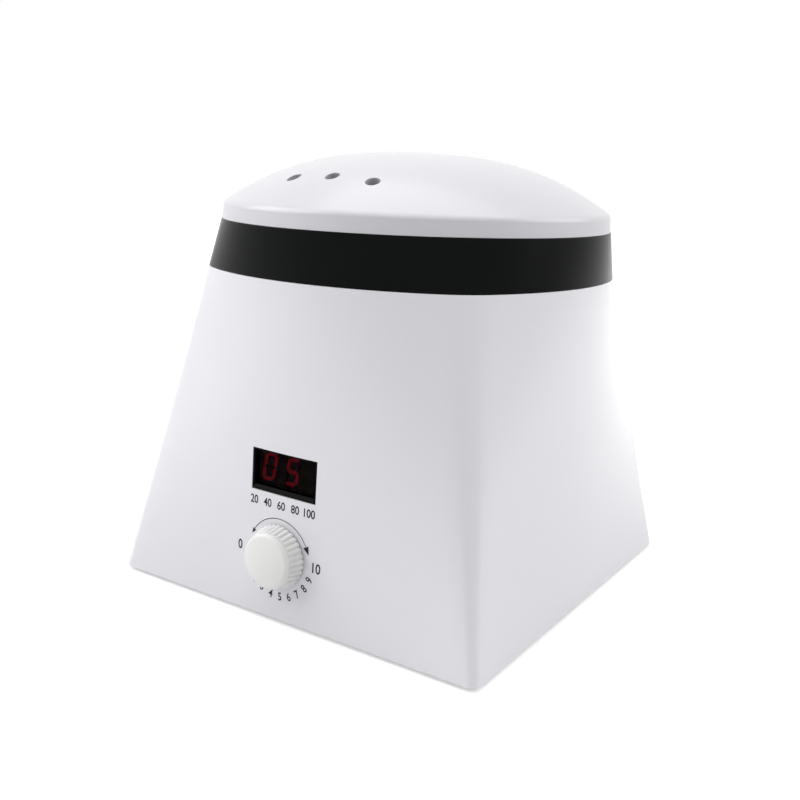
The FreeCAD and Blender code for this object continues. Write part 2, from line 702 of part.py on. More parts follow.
def base_plate():
    plate = tapered_body(WALL + FIT).common(slab(PLATE_BOTTOM, PLATE_TOP))
    standoffs = [upright(BOSS_RADIUS, x, y, PLATE_TOP, POWER_BOARD_LOW) for x, y in power_screw_places()]
    plate = joined([plate] + standoffs)
    for x, y in power_screw_places():
        plate = plate.cut(upright(SCREW_RADIUS, x, y, PLATE_BOTTOM + PILOT_FLOOR, POWER_BOARD_LOW + PAST))
    for x, y in four_ways(CORNER_BOSS_PLACE, CORNER_BOSS_PLACE):
        plate = plate.cut(upright(SCREW_RADIUS + FIT, x, y, PLATE_BOTTOM - PAST, PLATE_TOP + PAST))
        bore_top = PLATE_BOTTOM + COUNTERBORE_DEPTH
        plate = plate.cut(upright(SCREW_HEAD_RADIUS + FIT, x, y, PLATE_BOTTOM - PAST, bore_top))
    for x, y in four_ways(FOOT_PLACE, FOOT_PLACE):
        plate = plate.cut(upright(FOOT_RADIUS + FIT, x, y, PLATE_BOTTOM - PAST, PLATE_BOTTOM + FOOT_POCKET))
    first = -(VENT_SLOT_COUNT - 1) / 2 * VENT_SLOT_PITCH
    for row in range(VENT_SLOT_COUNT):
        x = first + row * VENT_SLOT_PITCH
        y = -CORNER_BOSS_PLACE / 2
        half = VENT_SLOT_LENGTH / 2 - VENT_SLOT_WIDTH / 2
        slot = joined([
            box(x - VENT_SLOT_WIDTH / 2, x + VENT_SLOT_WIDTH / 2, y - half, y + half,
                PLATE_BOTTOM - PAST, PLATE_TOP + PAST),
            upright(VENT_SLOT_WIDTH / 2, x, y - half, PLATE_BOTTOM - PAST, PLATE_TOP + PAST),
            upright(VENT_SLOT_WIDTH / 2, x, y + half, PLATE_BOTTOM - PAST, PLATE_TOP + PAST)])
        plate = plate.cut(slot)
    return plate


def rubber_feet():
    feet = []
    for x, y in four_ways(FOOT_PLACE, FOOT_PLACE):
        foot = upright(FOOT_RADIUS, x, y, 0, PLATE_BOTTOM + FOOT_POCKET)
        rim = [e for e in foot.Edges if e.BoundBox.ZMax < FIT]
        feet.append(foot.makeFillet(FLOOR_GAP / 3, rim))
    return group(feet)


def base_screws():
    z = PLATE_BOTTOM + COUNTERBORE_DEPTH
    length = CORNER_BOSS_HEIGHT - RIB_THICKNESS
    places = four_ways(CORNER_BOSS_PLACE, CORNER_BOSS_PLACE)
    return group([placed_screw(length, Vector(x, y, z), upwards=True) for x, y in places])


def display_bezel():
    half_w = WINDOW_WIDTH / 2 - FIT / 2
    half_h = WINDOW_HEIGHT / 2 - FIT / 2
    frame = box(-half_w, half_w, WINDOW_CENTRE - half_h, WINDOW_CENTRE + half_h,
                -BEZEL_DEPTH, -BEZEL_RECESS)
    lip_w = half_w + BEZEL_LIP
    lip_h = half_h + BEZEL_LIP
    lip = box(-lip_w, lip_w, WINDOW_CENTRE - lip_h, WINDOW_CENTRE + lip_h,
              -BEZEL_DEPTH, -WALL - BEZEL_LIP_SETBACK)
    frame = joined([frame, lip])
    left = -half_w + BEZEL_SIDE
    right = half_w - BEZEL_SIDE
    top = WINDOW_CENTRE + half_h - BEZEL_SIDE
    low = WINDOW_CENTRE - half_h + BEZEL_LOWER
    frame = frame.cut(box(left, right, low, top, -BEZEL_DEPTH - PAST, PAST))
    outer_low = WINDOW_CENTRE - half_h + BEZEL_SIDE / 2
    slope = [Vector(left, outer_low, -BEZEL_RECESS), Vector(left, low, -LENS_RECESS),
             Vector(left, low, PAST), Vector(left, outer_low, PAST)]
    wedge = Part.Face(Part.makePolygon(slope + [slope[0]])).extrude(Vector(right - left, 0, 0))
    return at_window(frame.cut(wedge))


def lens_edges():
    half_w = WINDOW_WIDTH / 2 - FIT / 2 - BEZEL_SIDE - FIT / 2
    top = WINDOW_CENTRE + WINDOW_HEIGHT / 2 - FIT / 2 - BEZEL_SIDE - FIT / 2
    low = WINDOW_CENTRE - WINDOW_HEIGHT / 2 + FIT / 2 + BEZEL_LOWER + FIT / 2
    return half_w, low, top


def display_lens():
    half_w, low, top = lens_edges()
    return window_box(half_w, low, top, -LENS_RECESS - LENS_THICKNESS, -LENS_RECESS)


def segment(centre, length, upright_bar):
    """Six-sided bar of a numeral, lying in the panel's plane."""
    half = length / 2 - SEGMENT_GAP
    tip = SEGMENT_WIDTH / 2
    outline = [(-half, 0), (-half + tip, tip), (half - tip, tip), (half, 0), (half - tip, -tip),
               (-half + tip, -tip)]
    if upright_bar:
        outline = [(y, x) for x, y in outline]
    return [(centre[0] + x, centre[1] + y) for x, y in outline]


def numeral(centre_x, lit):
    """Solids of the lit and the unlit bars of one numeral."""
    w = (DIGIT_WIDTH - SEGMENT_WIDTH) / 2
    h = (DIGIT_HEIGHT - SEGMENT_WIDTH) / 4
    bars = {"a": ((0, 2 * h), 2 * w, False), "b": ((w, h), 2 * h, True),
            "c": ((w, -h), 2 * h, True), "d": ((0, -2 * h), 2 * w, False),
            "e": ((-w, -h), 2 * h, True), "f": ((-w, h), 2 * h, True), "g": ((0, 0), 2 * w, False)}
    lean = math.tan(math.radians(DIGIT_SLANT))
    front = module_front() + SEGMENT_THICKNESS
    shapes = {"on": [], "off": []}
    for name, (middle, length, upright_bar) in bars.items():
        outline = segment(middle, length, upright_bar)
        points = [Vector(centre_x + x + y * lean, DIGIT_CENTRE + y, module_front()) for x, y in outline]
        face = Part.Face(Part.makePolygon(points + [points[0]]))
        bar = at_window(face.extrude(Vector(0, 0, front - module_front())))
        shapes["on" if name in lit else "off"].append(bar)
    return shapes


def module_front():
    return -LENS_RECESS - LENS_THICKNESS - SEGMENT_THICKNESS - FIT


def led_display():
    half_w, low, top = lens_edges()
    half_w -= MODULE_MARGIN
    return window_box(half_w, low, top, -CONTROL_BOARD_DEPTH, module_front())


def led_segments():
    left = numeral(DIGIT_OFFSET - DIGIT_PITCH / 2, "abcdef")
    right = numeral(DIGIT_OFFSET + DIGIT_PITCH / 2, "afgcd")
    return group(left["on"] + right["on"]), group(left["off"] + right["off"])


def control_board():
    half = CONTROL_BOARD_WIDTH / 2
    board = box(-half, half, CONTROL_BOARD_LOW, CONTROL_BOARD_HIGH,
                -CONTROL_BOARD_DEPTH - BOARD_THICKNESS, -CONTROL_BOARD_DEPTH)
    for x, y in control_screw_places():
        board = board.cut(upright(SCREW_RADIUS + FIT, x, y, -BASE_WIDTH, 0))
    return on_front(board)


def control_board_screws():
    back = -CONTROL_BOARD_DEPTH - BOARD_THICKNESS
    length = CONTROL_BOARD_DEPTH - WALL - BOSS_RADIUS
    screws = [placed_screw(length, Vector(x, y, back), upwards=True) for x, y in control_screw_places()]
    return group([on_front(s) for s in screws])


def potentiometer():
    back = -CONTROL_BOARD_DEPTH
    front = -WALL - FIT
    half = POT_BODY_WIDTH / 2
    body = box(-half, half, -POT_BODY_HEIGHT / 2, POT_BODY_HEIGHT / 2, back, front)
    bush = upright(BUSH_RADIUS, 0, 0, front - PAST, BUSH_STAND)
    body = joined([body, bush])
    bore = upright(SHAFT_RADIUS + RUNNING_FIT, 0, 0, -SHAFT_INSIDE - LOOSE_GAP, BUSH_STAND + PAST)
    return at_knob(body.cut(bore))


def pot_washer():
    washer = upright(WASHER_RADIUS, 0, 0, 0, WASHER_THICKNESS)
    return at_knob(washer.cut(upright(BUSH_RADIUS + RUNNING_FIT, 0, 0, -PAST, BUSH_STAND)))


def pot_nut():
    nut = hexagon(NUT_ACROSS_FLATS, WASHER_THICKNESS, WASHER_THICKNESS + NUT_THICKNESS)
    return at_knob(nut.cut(upright(BUSH_RADIUS + RUNNING_FIT, 0, 0, -PAST, BUSH_STAND + PAST)))


def knob_shaft():
    end = KNOB_HEIGHT - KNOB_CROWN - KNOB_EDGE
    shaft = upright(SHAFT_RADIUS, 0, 0, -SHAFT_INSIDE, end)
    flat = box(-SHAFT_RADIUS, SHAFT_RADIUS, SHAFT_FLAT, SHAFT_RADIUS + PAST, BUSH_STAND, end + PAST)
    return at_knob(shaft.cut(flat))


def ribbed_outline(radius, z):
    """Closed outline of rounded ribs, each an arc between two valleys."""
    step = 360.0 / KNOB_RIBS
    edges = []
    for k in range(KNOB_RIBS):
        start = polar(radius - KNOB_RIB_DEPTH, step * k, z)
        crest = polar(radius, step * (k + 0.5), z)
        end = polar(radius - KNOB_RIB_DEPTH, step * (k + 1), z)
        edges.append(Part.Arc(start, crest, end).toShape())
    return Part.Wire(edges)


def knob():
    shoulder = KNOB_HEIGHT - KNOB_CROWN - KNOB_EDGE
    skirt = Part.makeLoft([ribbed_outline(KNOB_BASE_RADIUS, KNOB_GAP),
                           ribbed_outline(KNOB_FACE_RADIUS, shoulder)], True, True)
    face_radius = KNOB_FACE_RADIUS - KNOB_RIB_DEPTH / 3
    face_edge = KNOB_HEIGHT - KNOB_CROWN
    inner = face_radius - KNOB_EDGE
    side = Part.LineSegment(Vector(face_radius, 0, shoulder - KNOB_EDGE), Vector(face_radius, 0, shoulder))
    bend = math.sqrt(0.5)
    shoulder_arc = Part.Arc(Vector(face_radius, 0, shoulder),
                            Vector(inner + KNOB_EDGE * bend, 0, shoulder + KNOB_EDGE * bend),
                            Vector(inner, 0, face_edge))
    crown_radius = (inner ** 2 + KNOB_CROWN ** 2) / (2 * KNOB_CROWN)
    half_chord = inner / 2
    sag = crown_radius - math.sqrt(crown_radius ** 2 - half_chord ** 2)
    crown_arc = Part.Arc(Vector(inner, 0, face_edge), Vector(half_chord, 0, KNOB_HEIGHT - sag),
                         Vector(0, 0, KNOB_HEIGHT))
    axis_line = Part.LineSegment(Vector(0, 0, KNOB_HEIGHT), Vector(0, 0, shoulder - KNOB_EDGE))
    under = shoulder - KNOB_EDGE
    bottom = Part.LineSegment(Vector(0, 0, under), Vector(face_radius, 0, under))
    outline = Part.Wire([e.toShape() for e in (side, shoulder_arc, crown_arc, axis_line, bottom)])
    cap = Part.Face(outline).revolve(Vector(0, 0, 0), Vector(0, 0, 1), 360)
    body = joined([skirt, cap])
    body = body.cut(upright(KNOB_CAVITY_RADIUS, 0, 0, 0, KNOB_CAVITY_DEPTH))
    bore = upright(SHAFT_RADIUS + RUNNING_FIT, 0, 0, 0, shoulder + LOOSE_GAP / 2)
    beside = SHAFT_RADIUS + PAST
    bore = bore.cut(box(-beside, beside, SHAFT_FLAT + RUNNING_FIT, beside, KNOB_CAVITY_DEPTH, KNOB_HEIGHT))
    return at_knob(body.cut(bore))


def power_board():
    size = (POWER_BOARD_WIDTH, POWER_BOARD_LENGTH, BOARD_THICKNESS)
    board = block(size, (0, POWER_BOARD_CENTRE_Y), POWER_BOARD_LOW)
    for x, y in power_screw_places():
        board = board.cut(upright(SCREW_RADIUS + FIT, x, y, 0, BASE_WIDTH))
    return board


def power_board_screws():
    length = BOARD_THICKNESS + STANDOFF_HEIGHT
    places = power_screw_places()
    return group([placed_screw(length, Vector(x, y, POWER_BOARD_TOP)) for x, y in places])


def relay():
    case = block(RELAY_SIZE, RELAY_PLACE, POWER_BOARD_TOP)
    return case.makeFillet(LOOSE_GAP, [e for e in case.Edges if e.BoundBox.ZMin > POWER_BOARD_TOP + PAST])


def transformer():
    core = block(CORE_SIZE, TRANSFORMER_PLACE, POWER_BOARD_TOP)
    bobbin = block(BOBBIN_SIZE, TRANSFORMER_PLACE, POWER_BOARD_TOP + (CORE_SIZE[2] - BOBBIN_SIZE[2]) / 2)
    feet_size = (BOBBIN_SIZE[0], BOBBIN_SIZE[1], (CORE_SIZE[2] - BOBBIN_SIZE[2]) / 2)
    feet = block(feet_size, TRANSFORMER_PLACE, POWER_BOARD_TOP)
    winding = joined([bobbin, feet]).cut(core)
    return group([core] + winding.Solids)


def filter_capacitor():
    x, y = CAPACITOR_PLACE
    can = upright(CAPACITOR_RADIUS, x, y, POWER_BOARD_TOP, POWER_BOARD_TOP + CAPACITOR_HEIGHT)
    top = POWER_BOARD_TOP + CAPACITOR_HEIGHT
    return can.makeFillet(LOOSE_GAP, [e for e in can.Edges if e.BoundBox.ZMin > top - PAST])


def fuse():
    x, y = FUSE_PLACE
    z = POWER_BOARD_TOP + FUSE_LIFT + FUSE_RADIUS
    half = FUSE_LENGTH / 2
    cap = CLIP_WIDTH
    tube = rod(FUSE_RADIUS - FIT, Vector(x - half + cap, y, z), Vector(x + half - cap, y, z))
    left = rod(FUSE_RADIUS, Vector(x - half, y, z), Vector(x - half + cap, y, z))
    right = rod(FUSE_RADIUS, Vector(x + half - cap, y, z), Vector(x + half, y, z))
    return tube, group([left, right])


def fuse_clips():
    x, y = FUSE_PLACE
    z = POWER_BOARD_TOP + FUSE_LIFT + FUSE_RADIUS
    clips = []
    for side in (-1, 1):
        middle = x + side * (FUSE_LENGTH - CLIP_WIDTH) / 2
        outer = FUSE_RADIUS + RUNNING_FIT + CLIP_THICKNESS
        size = (CLIP_WIDTH - LOOSE_GAP, 2 * outer, FUSE_LIFT + 2 * FUSE_RADIUS)
        clip = block(size, (middle, y), POWER_BOARD_TOP)
        run = CLIP_WIDTH
        bore = rod(FUSE_RADIUS + RUNNING_FIT, Vector(middle - run, y, z), Vector(middle + run, y, z))
        mouth = box(middle - run, middle + run, y - CLIP_MOUTH / 2, y + CLIP_MOUTH / 2, z, z + outer + PAST)
        clips.append(clip.cut(bore).cut(mouth))
    return group(clips)


def terminal_block():
    body = block(TERMINAL_SIZE, TERMINAL_PLACE, POWER_BOARD_TOP)
    top = POWER_BOARD_TOP + TERMINAL_SIZE[2]
    for number in range(1, TERMINAL_WAYS + 1):
        x = terminal_way(number)
        body = body.cut(upright(TERMINAL_WELL_RADIUS, x, TERMINAL_PLACE[1], top - TERMINAL_WELL, top + PAST))
    return body


def cable_header():
    return block(HEADER_SIZE, HEADER_PLACE, POWER_BOARD_TOP)


def stadium(width, height, z0, z1):
    radius = height / 2
    half = width / 2 - radius
    y = INLET_CENTRE
    return joined([box(-half, half, y - radius, y + radius, z0, z1),
                   upright(radius, -half, y, z0, z1), upright(radius, half, y, z0, z1)])


def power_inlet():
    flange = stadium(INLET_FLANGE_WIDTH, INLET_FLANGE_HEIGHT, INLET_FLANGE_SEAT, INLET_FLANGE_THICKNESS)
    half_w = INLET_BODY_WIDTH / 2
    half_h = INLET_BODY_HEIGHT / 2
    body = box(-half_w, half_w, INLET_CENTRE - half_h, INLET_CENTRE + half_h,
               -INLET_BODY_DEPTH, INLET_FLANGE_THICKNESS)
    inlet = joined([flange, body])
    mouth = INLET_FLANGE_THICKNESS
    inlet = inlet.cut(stadium(SOCKET_WIDTH, SOCKET_HEIGHT, mouth - SOCKET_DEPTH, mouth + PAST))
    for side in (-1, 1):
        x = side * PIN_SPACING / 2
        inlet = inlet.cut(upright(PIN_RADIUS, x, INLET_CENTRE, -INLET_BODY_DEPTH - PAST, mouth))
        screw_x = side * INLET_SCREW_SPACING / 2
        inlet = inlet.cut(upright(SCREW_RADIUS + FIT, screw_x, INLET_CENTRE, -PAST, mouth + PAST))
    return on_rear(inlet)


def inlet_pins():
    pins = []
    floor = INLET_FLANGE_THICKNESS - SOCKET_DEPTH
    for side in (-1, 1):
        x = side * PIN_SPACING / 2
        pins.append(on_rear(upright(PIN_RADIUS, x, INLET_CENTRE, -INLET_BODY_DEPTH - PIN_TAIL,
                                     floor + PIN_STAND)))
    return group(pins)


def inlet_screws():
    length = INLET_FLANGE_THICKNESS + WALL + LOOSE_GAP
    places = [Vector(side * INLET_SCREW_SPACING / 2, INLET_CENTRE, INLET_FLANGE_THICKNESS)
              for side in (-1, 1)]
    return group([on_rear(placed_screw(length, p)) for p in places])


def on_rear_point(x, y, z):
    """Point of the rear panel, x right and y up as seen from outside, z out of it."""
    mark = on_rear(Part.Vertex(Vector(x, y, z)))
    return mark.Vertexes[0].Point


def on_front_point(x, y, z):
    mark = on_front(Part.Vertex(Vector(x, y, z)))
    return mark.Vertexes[0].Point


def mains_leads():
    """Two leads from the inlet's pins to the terminal block's rear face."""
    leads = []
    block_face = TERMINAL_PLACE[1] + TERMINAL_SIZE[1] / 2
    pin_end = -INLET_BODY_DEPTH - PIN_TAIL
    for side in (-1, 1):
        x = side * PIN_SPACING / 2
        start = on_rear_point(x, INLET_CENTRE, pin_end)
        first = on_rear_point(x, INLET_CENTRE, pin_end - LEAD_EXIT)
        end = Vector(start.x, block_face, POWER_BOARD_TOP + TERMINAL_ENTRY_HEIGHT)
        second = end + Vector(0, LEAD_EXIT, 0)
        leads.append(lead([start, first, second, end], POWER_LEAD_RADIUS))
    return group(leads)


def terminal_way(number):
    """Place along the terminal block of one of its ways, counted from the right."""
    right = TERMINAL_PLACE[0] + TERMINAL_SIZE[0] / 2
    return right - TERMINAL_SIZE[0] / TERMINAL_WAYS * (number - 0.5)


def heater_leads():
    """Two leads from the heater's lugs straight down, then over into the terminal block's wells."""
    leads = []
    block_top = POWER_BOARD_TOP + TERMINAL_SIZE[2]
    lug_y = LUG_GAP / 2 + LUG_THICKNESS / 2
    lug_x = HEATER_OUTER + LUG_LENGTH - LUG_THICKNESS
    lug_low = lug_middle() - LUG_HEIGHT / 2
    for side, way in ((-1, 1), (1, 2)):
        place = at_lugs(Part.Vertex(Vector(lug_x, side * lug_y, 0))).Vertexes[0].Point
        start = Vector(place.x, place.y, lug_low)
        end = Vector(terminal_way(way), TERMINAL_PLACE[1], block_top - TERMINAL_WELL)
        upper = Vector(start.x, start.y, block_top + HEATER_LEAD_TURN)
        lower = Vector(end.x, end.y, block_top + 2 * LEAD_EXIT)
        leads.append(lead([start, upper, lower, end], POWER_LEAD_RADIUS))
    return group(leads)


def probe_leads():
    """One lead from the sensor and one from the cut-out, down through the shield's floor."""
    leads = []
    z = POT_LOW - SENSOR_RADIUS
    back = -CONTROL_BOARD_DEPTH - BOARD_THICKNESS
    drop_y = -SENSOR_LENGTH / 2 - PROBE_LEAD_RUN
    for x in (-SENSOR_OFFSET, SENSOR_OFFSET):
        start = Vector(x, -SENSOR_LENGTH / 2, z)
        end = on_front_point(x, PROBE_LEAD_HEIGHT, back)
        run = (drop_y - end.y) / math.cos(math.radians(FACE_TILT))
        low = on_front_point(x, PROBE_LEAD_HEIGHT, back - run)
        leads.append(lead([start, Vector(x, drop_y, z), low, end], PROBE_LEAD_RADIUS))
    return group(leads)


def ribbon_cable():
    """Flat cable from the control board's back to the header on the power board."""
    back = -CONTROL_BOARD_DEPTH - BOARD_THICKNESS
    x = HEADER_PLACE[0]
    start = on_front_point(x, RIBBON_START, back)
    first = on_front_point(x, RIBBON_START, back - RIBBON_RUN)
    end = Vector(x, HEADER_PLACE[1], POWER_BOARD_TOP + HEADER_SIZE[2])
    second = end + Vector(0, 0, RIBBON_RUN)
    half_w = RIBBON_WIDTH / 2
    half_t = RIBBON_THICKNESS / 2
    corners = [on_front_point(x + dx, RIBBON_START + dy, back)
               for dx, dy in ((-half_w, -half_t), (half_w, -half_t), (half_w, half_t), (-half_w, half_t))]
    section = Part.makePolygon(corners + [corners[0]])
    return swept(section, routed([start, first, second, end]), RIBBON_WIDTH * RIBBON_THICKNESS)


def dome_curve(radius, height, low):
    """Smooth line from the rim to the top of the dome, whose fall grows with a power of the radius."""
    points = []
    for k in range(LID_DOME_POINTS):
        share = math.cos(math.pi / 2 * k / (LID_DOME_POINTS - 1))
        points.append(Vector(radius * share, 0, low + height * (1 - share ** LID_DOME_POWER)))
    curve = Part.BSplineCurve()
    curve.interpolate(points)
    return curve.toShape()


def lid_cover():
    inner_radius = DOME_RADIUS - LID_WALL
    inner_low = DOME_LOW - LID_WALL
    top_outer = DOME_LOW + LID_DOME_HEIGHT
    top_inner = top_outer - LID_WALL
    skirt_low = BAND_TOP - LID_SKIRT_DEPTH
    skirt_outer = RING_RECESS_RADIUS - LOOSE_GAP
    skirt_inner = skirt_outer - LID_SKIRT_WALL
    line = [Vector(DOME_RADIUS, 0, DOME_LOW), Vector(LID_RADIUS, 0, BAND_TOP),
            Vector(skirt_outer, 0, BAND_TOP), Vector(skirt_outer, 0, skirt_low),
            Vector(skirt_inner, 0, skirt_low), Vector(skirt_inner, 0, BAND_TOP + LID_SKIRT_WALL),
            Vector(inner_radius, 0, inner_low)]
    edges = [dome_curve(DOME_RADIUS, LID_DOME_HEIGHT, DOME_LOW)]
    edges += [Part.LineSegment(a, b).toShape() for a, b in zip(line, line[1:])]
    edges.append(dome_curve(inner_radius, top_inner - inner_low, inner_low))
    edges.append(Part.LineSegment(Vector(0, 0, top_inner), Vector(0, 0, top_outer)).toShape())
    outline = Part.Wire(Part.__sortEdges__(edges))
    lid = Part.Face(outline).revolve(Vector(0, 0, 0), Vector(0, 0, 1), 360)
    first = -(VENT_COUNT - 1) / 2 * VENT_SPACING
    for k in range(VENT_COUNT):
        x = first + k * VENT_SPACING
        lid = lid.cut(upright(VENT_RADIUS, x, -VENT_OFFSET, BAND_TOP, top_outer + PAST))
    return lid


clamp_screws, clamp_nuts = clamp_hardware()
sensor_plate, sensor_nut, temperature_probe, thermal_fuse = sensor_parts()
segments_lit, segments_unlit = led_segments()
fuse_tube, fuse_caps = fuse()

save("outer_shell", outer_shell())
save("band_ring", band_ring())
save("inner_pot", inner_pot())
save("pot_gasket", pot_gasket())
save("heater_band", heater_band())
save("clamp_screws", clamp_screws)
save("clamp_nuts", clamp_nuts)
save("insulation_blanket", insulation_blanket())
save("insulation_pad", insulation_pad())
save("heat_shield", heat_shield())
save("heat_shield_screws", heat_shield_screws())
save("sensor_plate", sensor_plate)
save("sensor_nut", sensor_nut)
save("temperature_probe", temperature_probe)
save("thermal_fuse", thermal_fuse)
save("base_plate", base_plate())
save("rubber_feet", rubber_feet())
save("base_screws", base_screws())
save("display_bezel", display_bezel())
save("display_lens", display_lens())
save("led_display", led_display())
save("segments_lit", segments_lit)
save("segments_unlit", segments_unlit)
save("control_board", control_board())
save("control_board_screws", control_board_screws())
save("potentiometer", potentiometer())
save("pot_washer", pot_washer())
save("pot_nut", pot_nut())
save("knob_shaft", knob_shaft())
save("knob", knob())
save("power_board", power_board())
save("power_board_screws", power_board_screws())
save("relay", relay())
save("transformer", transformer())
save("filter_capacitor", filter_capacitor())
save("fuse_tube", fuse_tube)
save("fuse_caps", fuse_caps)
save("fuse_clips", fuse_clips())
save("terminal_block", terminal_block())
save("cable_header", cable_header())
save("power_inlet", power_inlet())
save("inlet_pins", inlet_pins())
save("inlet_screws", inlet_screws())
save("mains_leads", mains_leads())
save("heater_leads", heater_leads())
save("probe_leads", probe_leads())
save("ribbon_cable", ribbon_cable())
save("lid_cover", lid_cover())
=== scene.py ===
import math

import bmesh
import bpy
from mathutils import Matrix, Vector


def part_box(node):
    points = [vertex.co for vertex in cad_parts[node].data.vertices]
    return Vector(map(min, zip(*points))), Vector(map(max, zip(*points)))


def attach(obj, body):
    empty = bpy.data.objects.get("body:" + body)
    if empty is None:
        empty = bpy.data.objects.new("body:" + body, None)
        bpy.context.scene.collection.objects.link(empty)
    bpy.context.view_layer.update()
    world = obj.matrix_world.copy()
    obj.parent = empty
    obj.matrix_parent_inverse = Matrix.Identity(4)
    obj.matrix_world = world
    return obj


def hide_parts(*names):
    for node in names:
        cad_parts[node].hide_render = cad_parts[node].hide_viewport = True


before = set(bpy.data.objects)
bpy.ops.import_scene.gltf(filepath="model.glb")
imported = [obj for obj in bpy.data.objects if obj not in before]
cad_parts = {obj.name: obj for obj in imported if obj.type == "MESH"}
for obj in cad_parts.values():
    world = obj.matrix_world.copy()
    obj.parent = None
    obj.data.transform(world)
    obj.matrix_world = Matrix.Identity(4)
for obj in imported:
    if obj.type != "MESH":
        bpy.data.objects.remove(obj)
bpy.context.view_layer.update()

# The camera stands a little above the heater's foot, to the right of its front face.
# Its angles, distance and lens come from the outline of the heater in the photo.
CAMERA_TURN = math.radians(33.1)
CAMERA_RISE = math.radians(13.57)
CAMERA_ROLL = math.radians(2.2)
CAMERA_DISTANCE = 0.39975
CAMERA_AIM = Vector((-0.00435, 0.0, 0.0666))
FOCAL_PIXELS = 979.7
IMAGE_SIDE = 800
SENSOR = 36.0
NEAREST_SEEN = 0.01

away = Vector((math.sin(CAMERA_TURN) * math.cos(CAMERA_RISE),
               -math.cos(CAMERA_TURN) * math.cos(CAMERA_RISE),
               math.sin(CAMERA_RISE)))
level_right = Vector((0, 0, 1)).cross(away).normalized()
level_up = away.cross(level_right)
right = level_right * math.cos(CAMERA_ROLL) + level_up * math.sin(CAMERA_ROLL)
up = level_up * math.cos(CAMERA_ROLL) - level_right * math.sin(CAMERA_ROLL)
camera = bpy.data.objects.new("camera", bpy.data.cameras.new("camera"))
camera.data.sensor_width = SENSOR
camera.data.lens = FOCAL_PIXELS / IMAGE_SIDE * SENSOR
camera.data.clip_start = NEAREST_SEEN
turn = Matrix((right, up, away)).transposed()
camera.matrix_world = Matrix.Translation(CAMERA_AIM + away * CAMERA_DISTANCE) @ turn.to_4x4()
bpy.context.scene.collection.objects.link(camera)
bpy.context.scene.camera = camera

# A seamless white studio sweep: one sheet that lies flat under the heater and far round it.
# It shows white to the eye and in reflections and keeps its soft shadow; its glow is turned down round the
# heater, a painted shade that darkens the floor at its foot.
FLOOR_REACH = 3.0
FLOOR_GREY = 0.80
NEAR_REACH = 0.12
FAR_REACH = 0.60
# Glow of the floor next to the heater, kept low as a painted shade round its foot.
PAINTED_SHADE_GLOW = 0.38
FAR_GLOW = 0.88


def piece(name, bm, material, body, replaces=(), smooth_below=40.0):
    """Turns a finished bmesh into an object that rides on a body of the frame."""
    mesh = bpy.data.meshes.new(name)
    bm.to_mesh(mesh)
    bm.free()
    mesh.materials.append(material)
    mesh.shade_smooth()
    mesh.set_sharp_from_angle(angle=math.radians(smooth_below))
    shown = bpy.data.objects.new(name, mesh)
    bpy.context.scene.collection.objects.link(shown)
    if body is None:
        return shown
    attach(shown, body)
    if replaces:
        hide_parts(*replaces)
    return shown


def new_material(name):
    """Material with an empty tree but for the Principled shader and its output."""
    material = bpy.data.materials.new(name)
    material.use_nodes = True
    shader = material.node_tree.nodes["Principled BSDF"]
    return material, material.node_tree, shader


def seen_rays(tree):
    """Socket that is 1 for rays from the camera, in reflections and through glass."""
    paths = tree.nodes.new("ShaderNodeLightPath")
    seen = paths.outputs["Is Camera Ray"]
    for kind in ("Is Glossy Ray", "Is Transmission Ray"):
        either = tree.nodes.new("ShaderNodeMath")
        either.operation = "MAXIMUM"
        tree.links.new(seen, either.inputs[0])
        tree.links.new(paths.outputs[kind], either.inputs[1])
        seen = either.outputs[0]
    return seen


def sweep_material():
    material, tree, shader = new_material("studio_sweep")
    shader.inputs["Base Color"].default_value = (FLOOR_GREY, FLOOR_GREY, FLOOR_GREY, 1)
    shader.inputs["Roughness"].default_value = 1.0
    shader.inputs["Specular IOR Level"].default_value = 0.0
    shader.inputs["Emission Color"].default_value = (1, 1, 1, 1)
    place = tree.nodes.new("ShaderNodeTexCoord")
    reach = tree.nodes.new("ShaderNodeVectorMath")
    reach.operation = "LENGTH"
    # The glow is low near the heater, a painted shade round its foot, and white far off.
    glow = tree.nodes.new("ShaderNodeMapRange")
    glow.inputs["From Min"].default_value = NEAR_REACH
    glow.inputs["From Max"].default_value = FAR_REACH
    glow.inputs["To Min"].default_value = PAINTED_SHADE_GLOW
    glow.inputs["To Max"].default_value = FAR_GLOW
    shown = tree.nodes.new("ShaderNodeMath")
    shown.operation = "MULTIPLY"
    tree.links.new(place.outputs["Object"], reach.inputs[0])
    tree.links.new(reach.outputs["Value"], glow.inputs["Value"])
    tree.links.new(glow.outputs["Result"], shown.inputs[0])
    tree.links.new(seen_rays(tree), shown.inputs[1])
    tree.links.new(shown.outputs[0], shader.inputs["Emission Strength"])
    return material


sweep = bmesh.new()
bmesh.ops.create_grid(sweep, x_segments=1, y_segments=1, size=FLOOR_REACH)
piece("studio_floor", sweep, sweep_material(), None)

# The room is dim; large softboxes stand left and right of the heater and hang over it.
# The side of the camera stays darker, which draws the front corner, the lid's rim and the band.
WORLD_LIGHT = 0.22

world = bpy.data.worlds.new("studio")
bpy.context.scene.world = world
world.use_nodes = True
world_tree = world.node_tree
backdrop = world_tree.nodes["Background"]
strength = world_tree.nodes.new("ShaderNodeMapRange")
strength.inputs["To Min"].default_value = WORLD_LIGHT
strength.inputs["To Max"].default_value = 1.0
world_tree.links.new(seen_rays(world_tree), strength.inputs["Value"])
world_tree.links.new(strength.outputs["Result"], backdrop.inputs["Strength"])
backdrop.inputs["Color"].default_value = (1, 1, 1, 1)


def softbox(name, place, aim, width, height, power):
    lamp = bpy.data.lights.new(name, "AREA")
    lamp.shape = "RECTANGLE"
    lamp.size = width
    lamp.size_y = height
    lamp.energy = power
    stand = bpy.data.objects.new(name, lamp)
    heading = (Vector(aim) - Vector(place)).to_track_quat("-Z", "Y")
    stand.matrix_world = Matrix.Translation(place) @ heading.to_matrix().to_4x4()
    bpy.context.scene.collection.objects.link(stand)


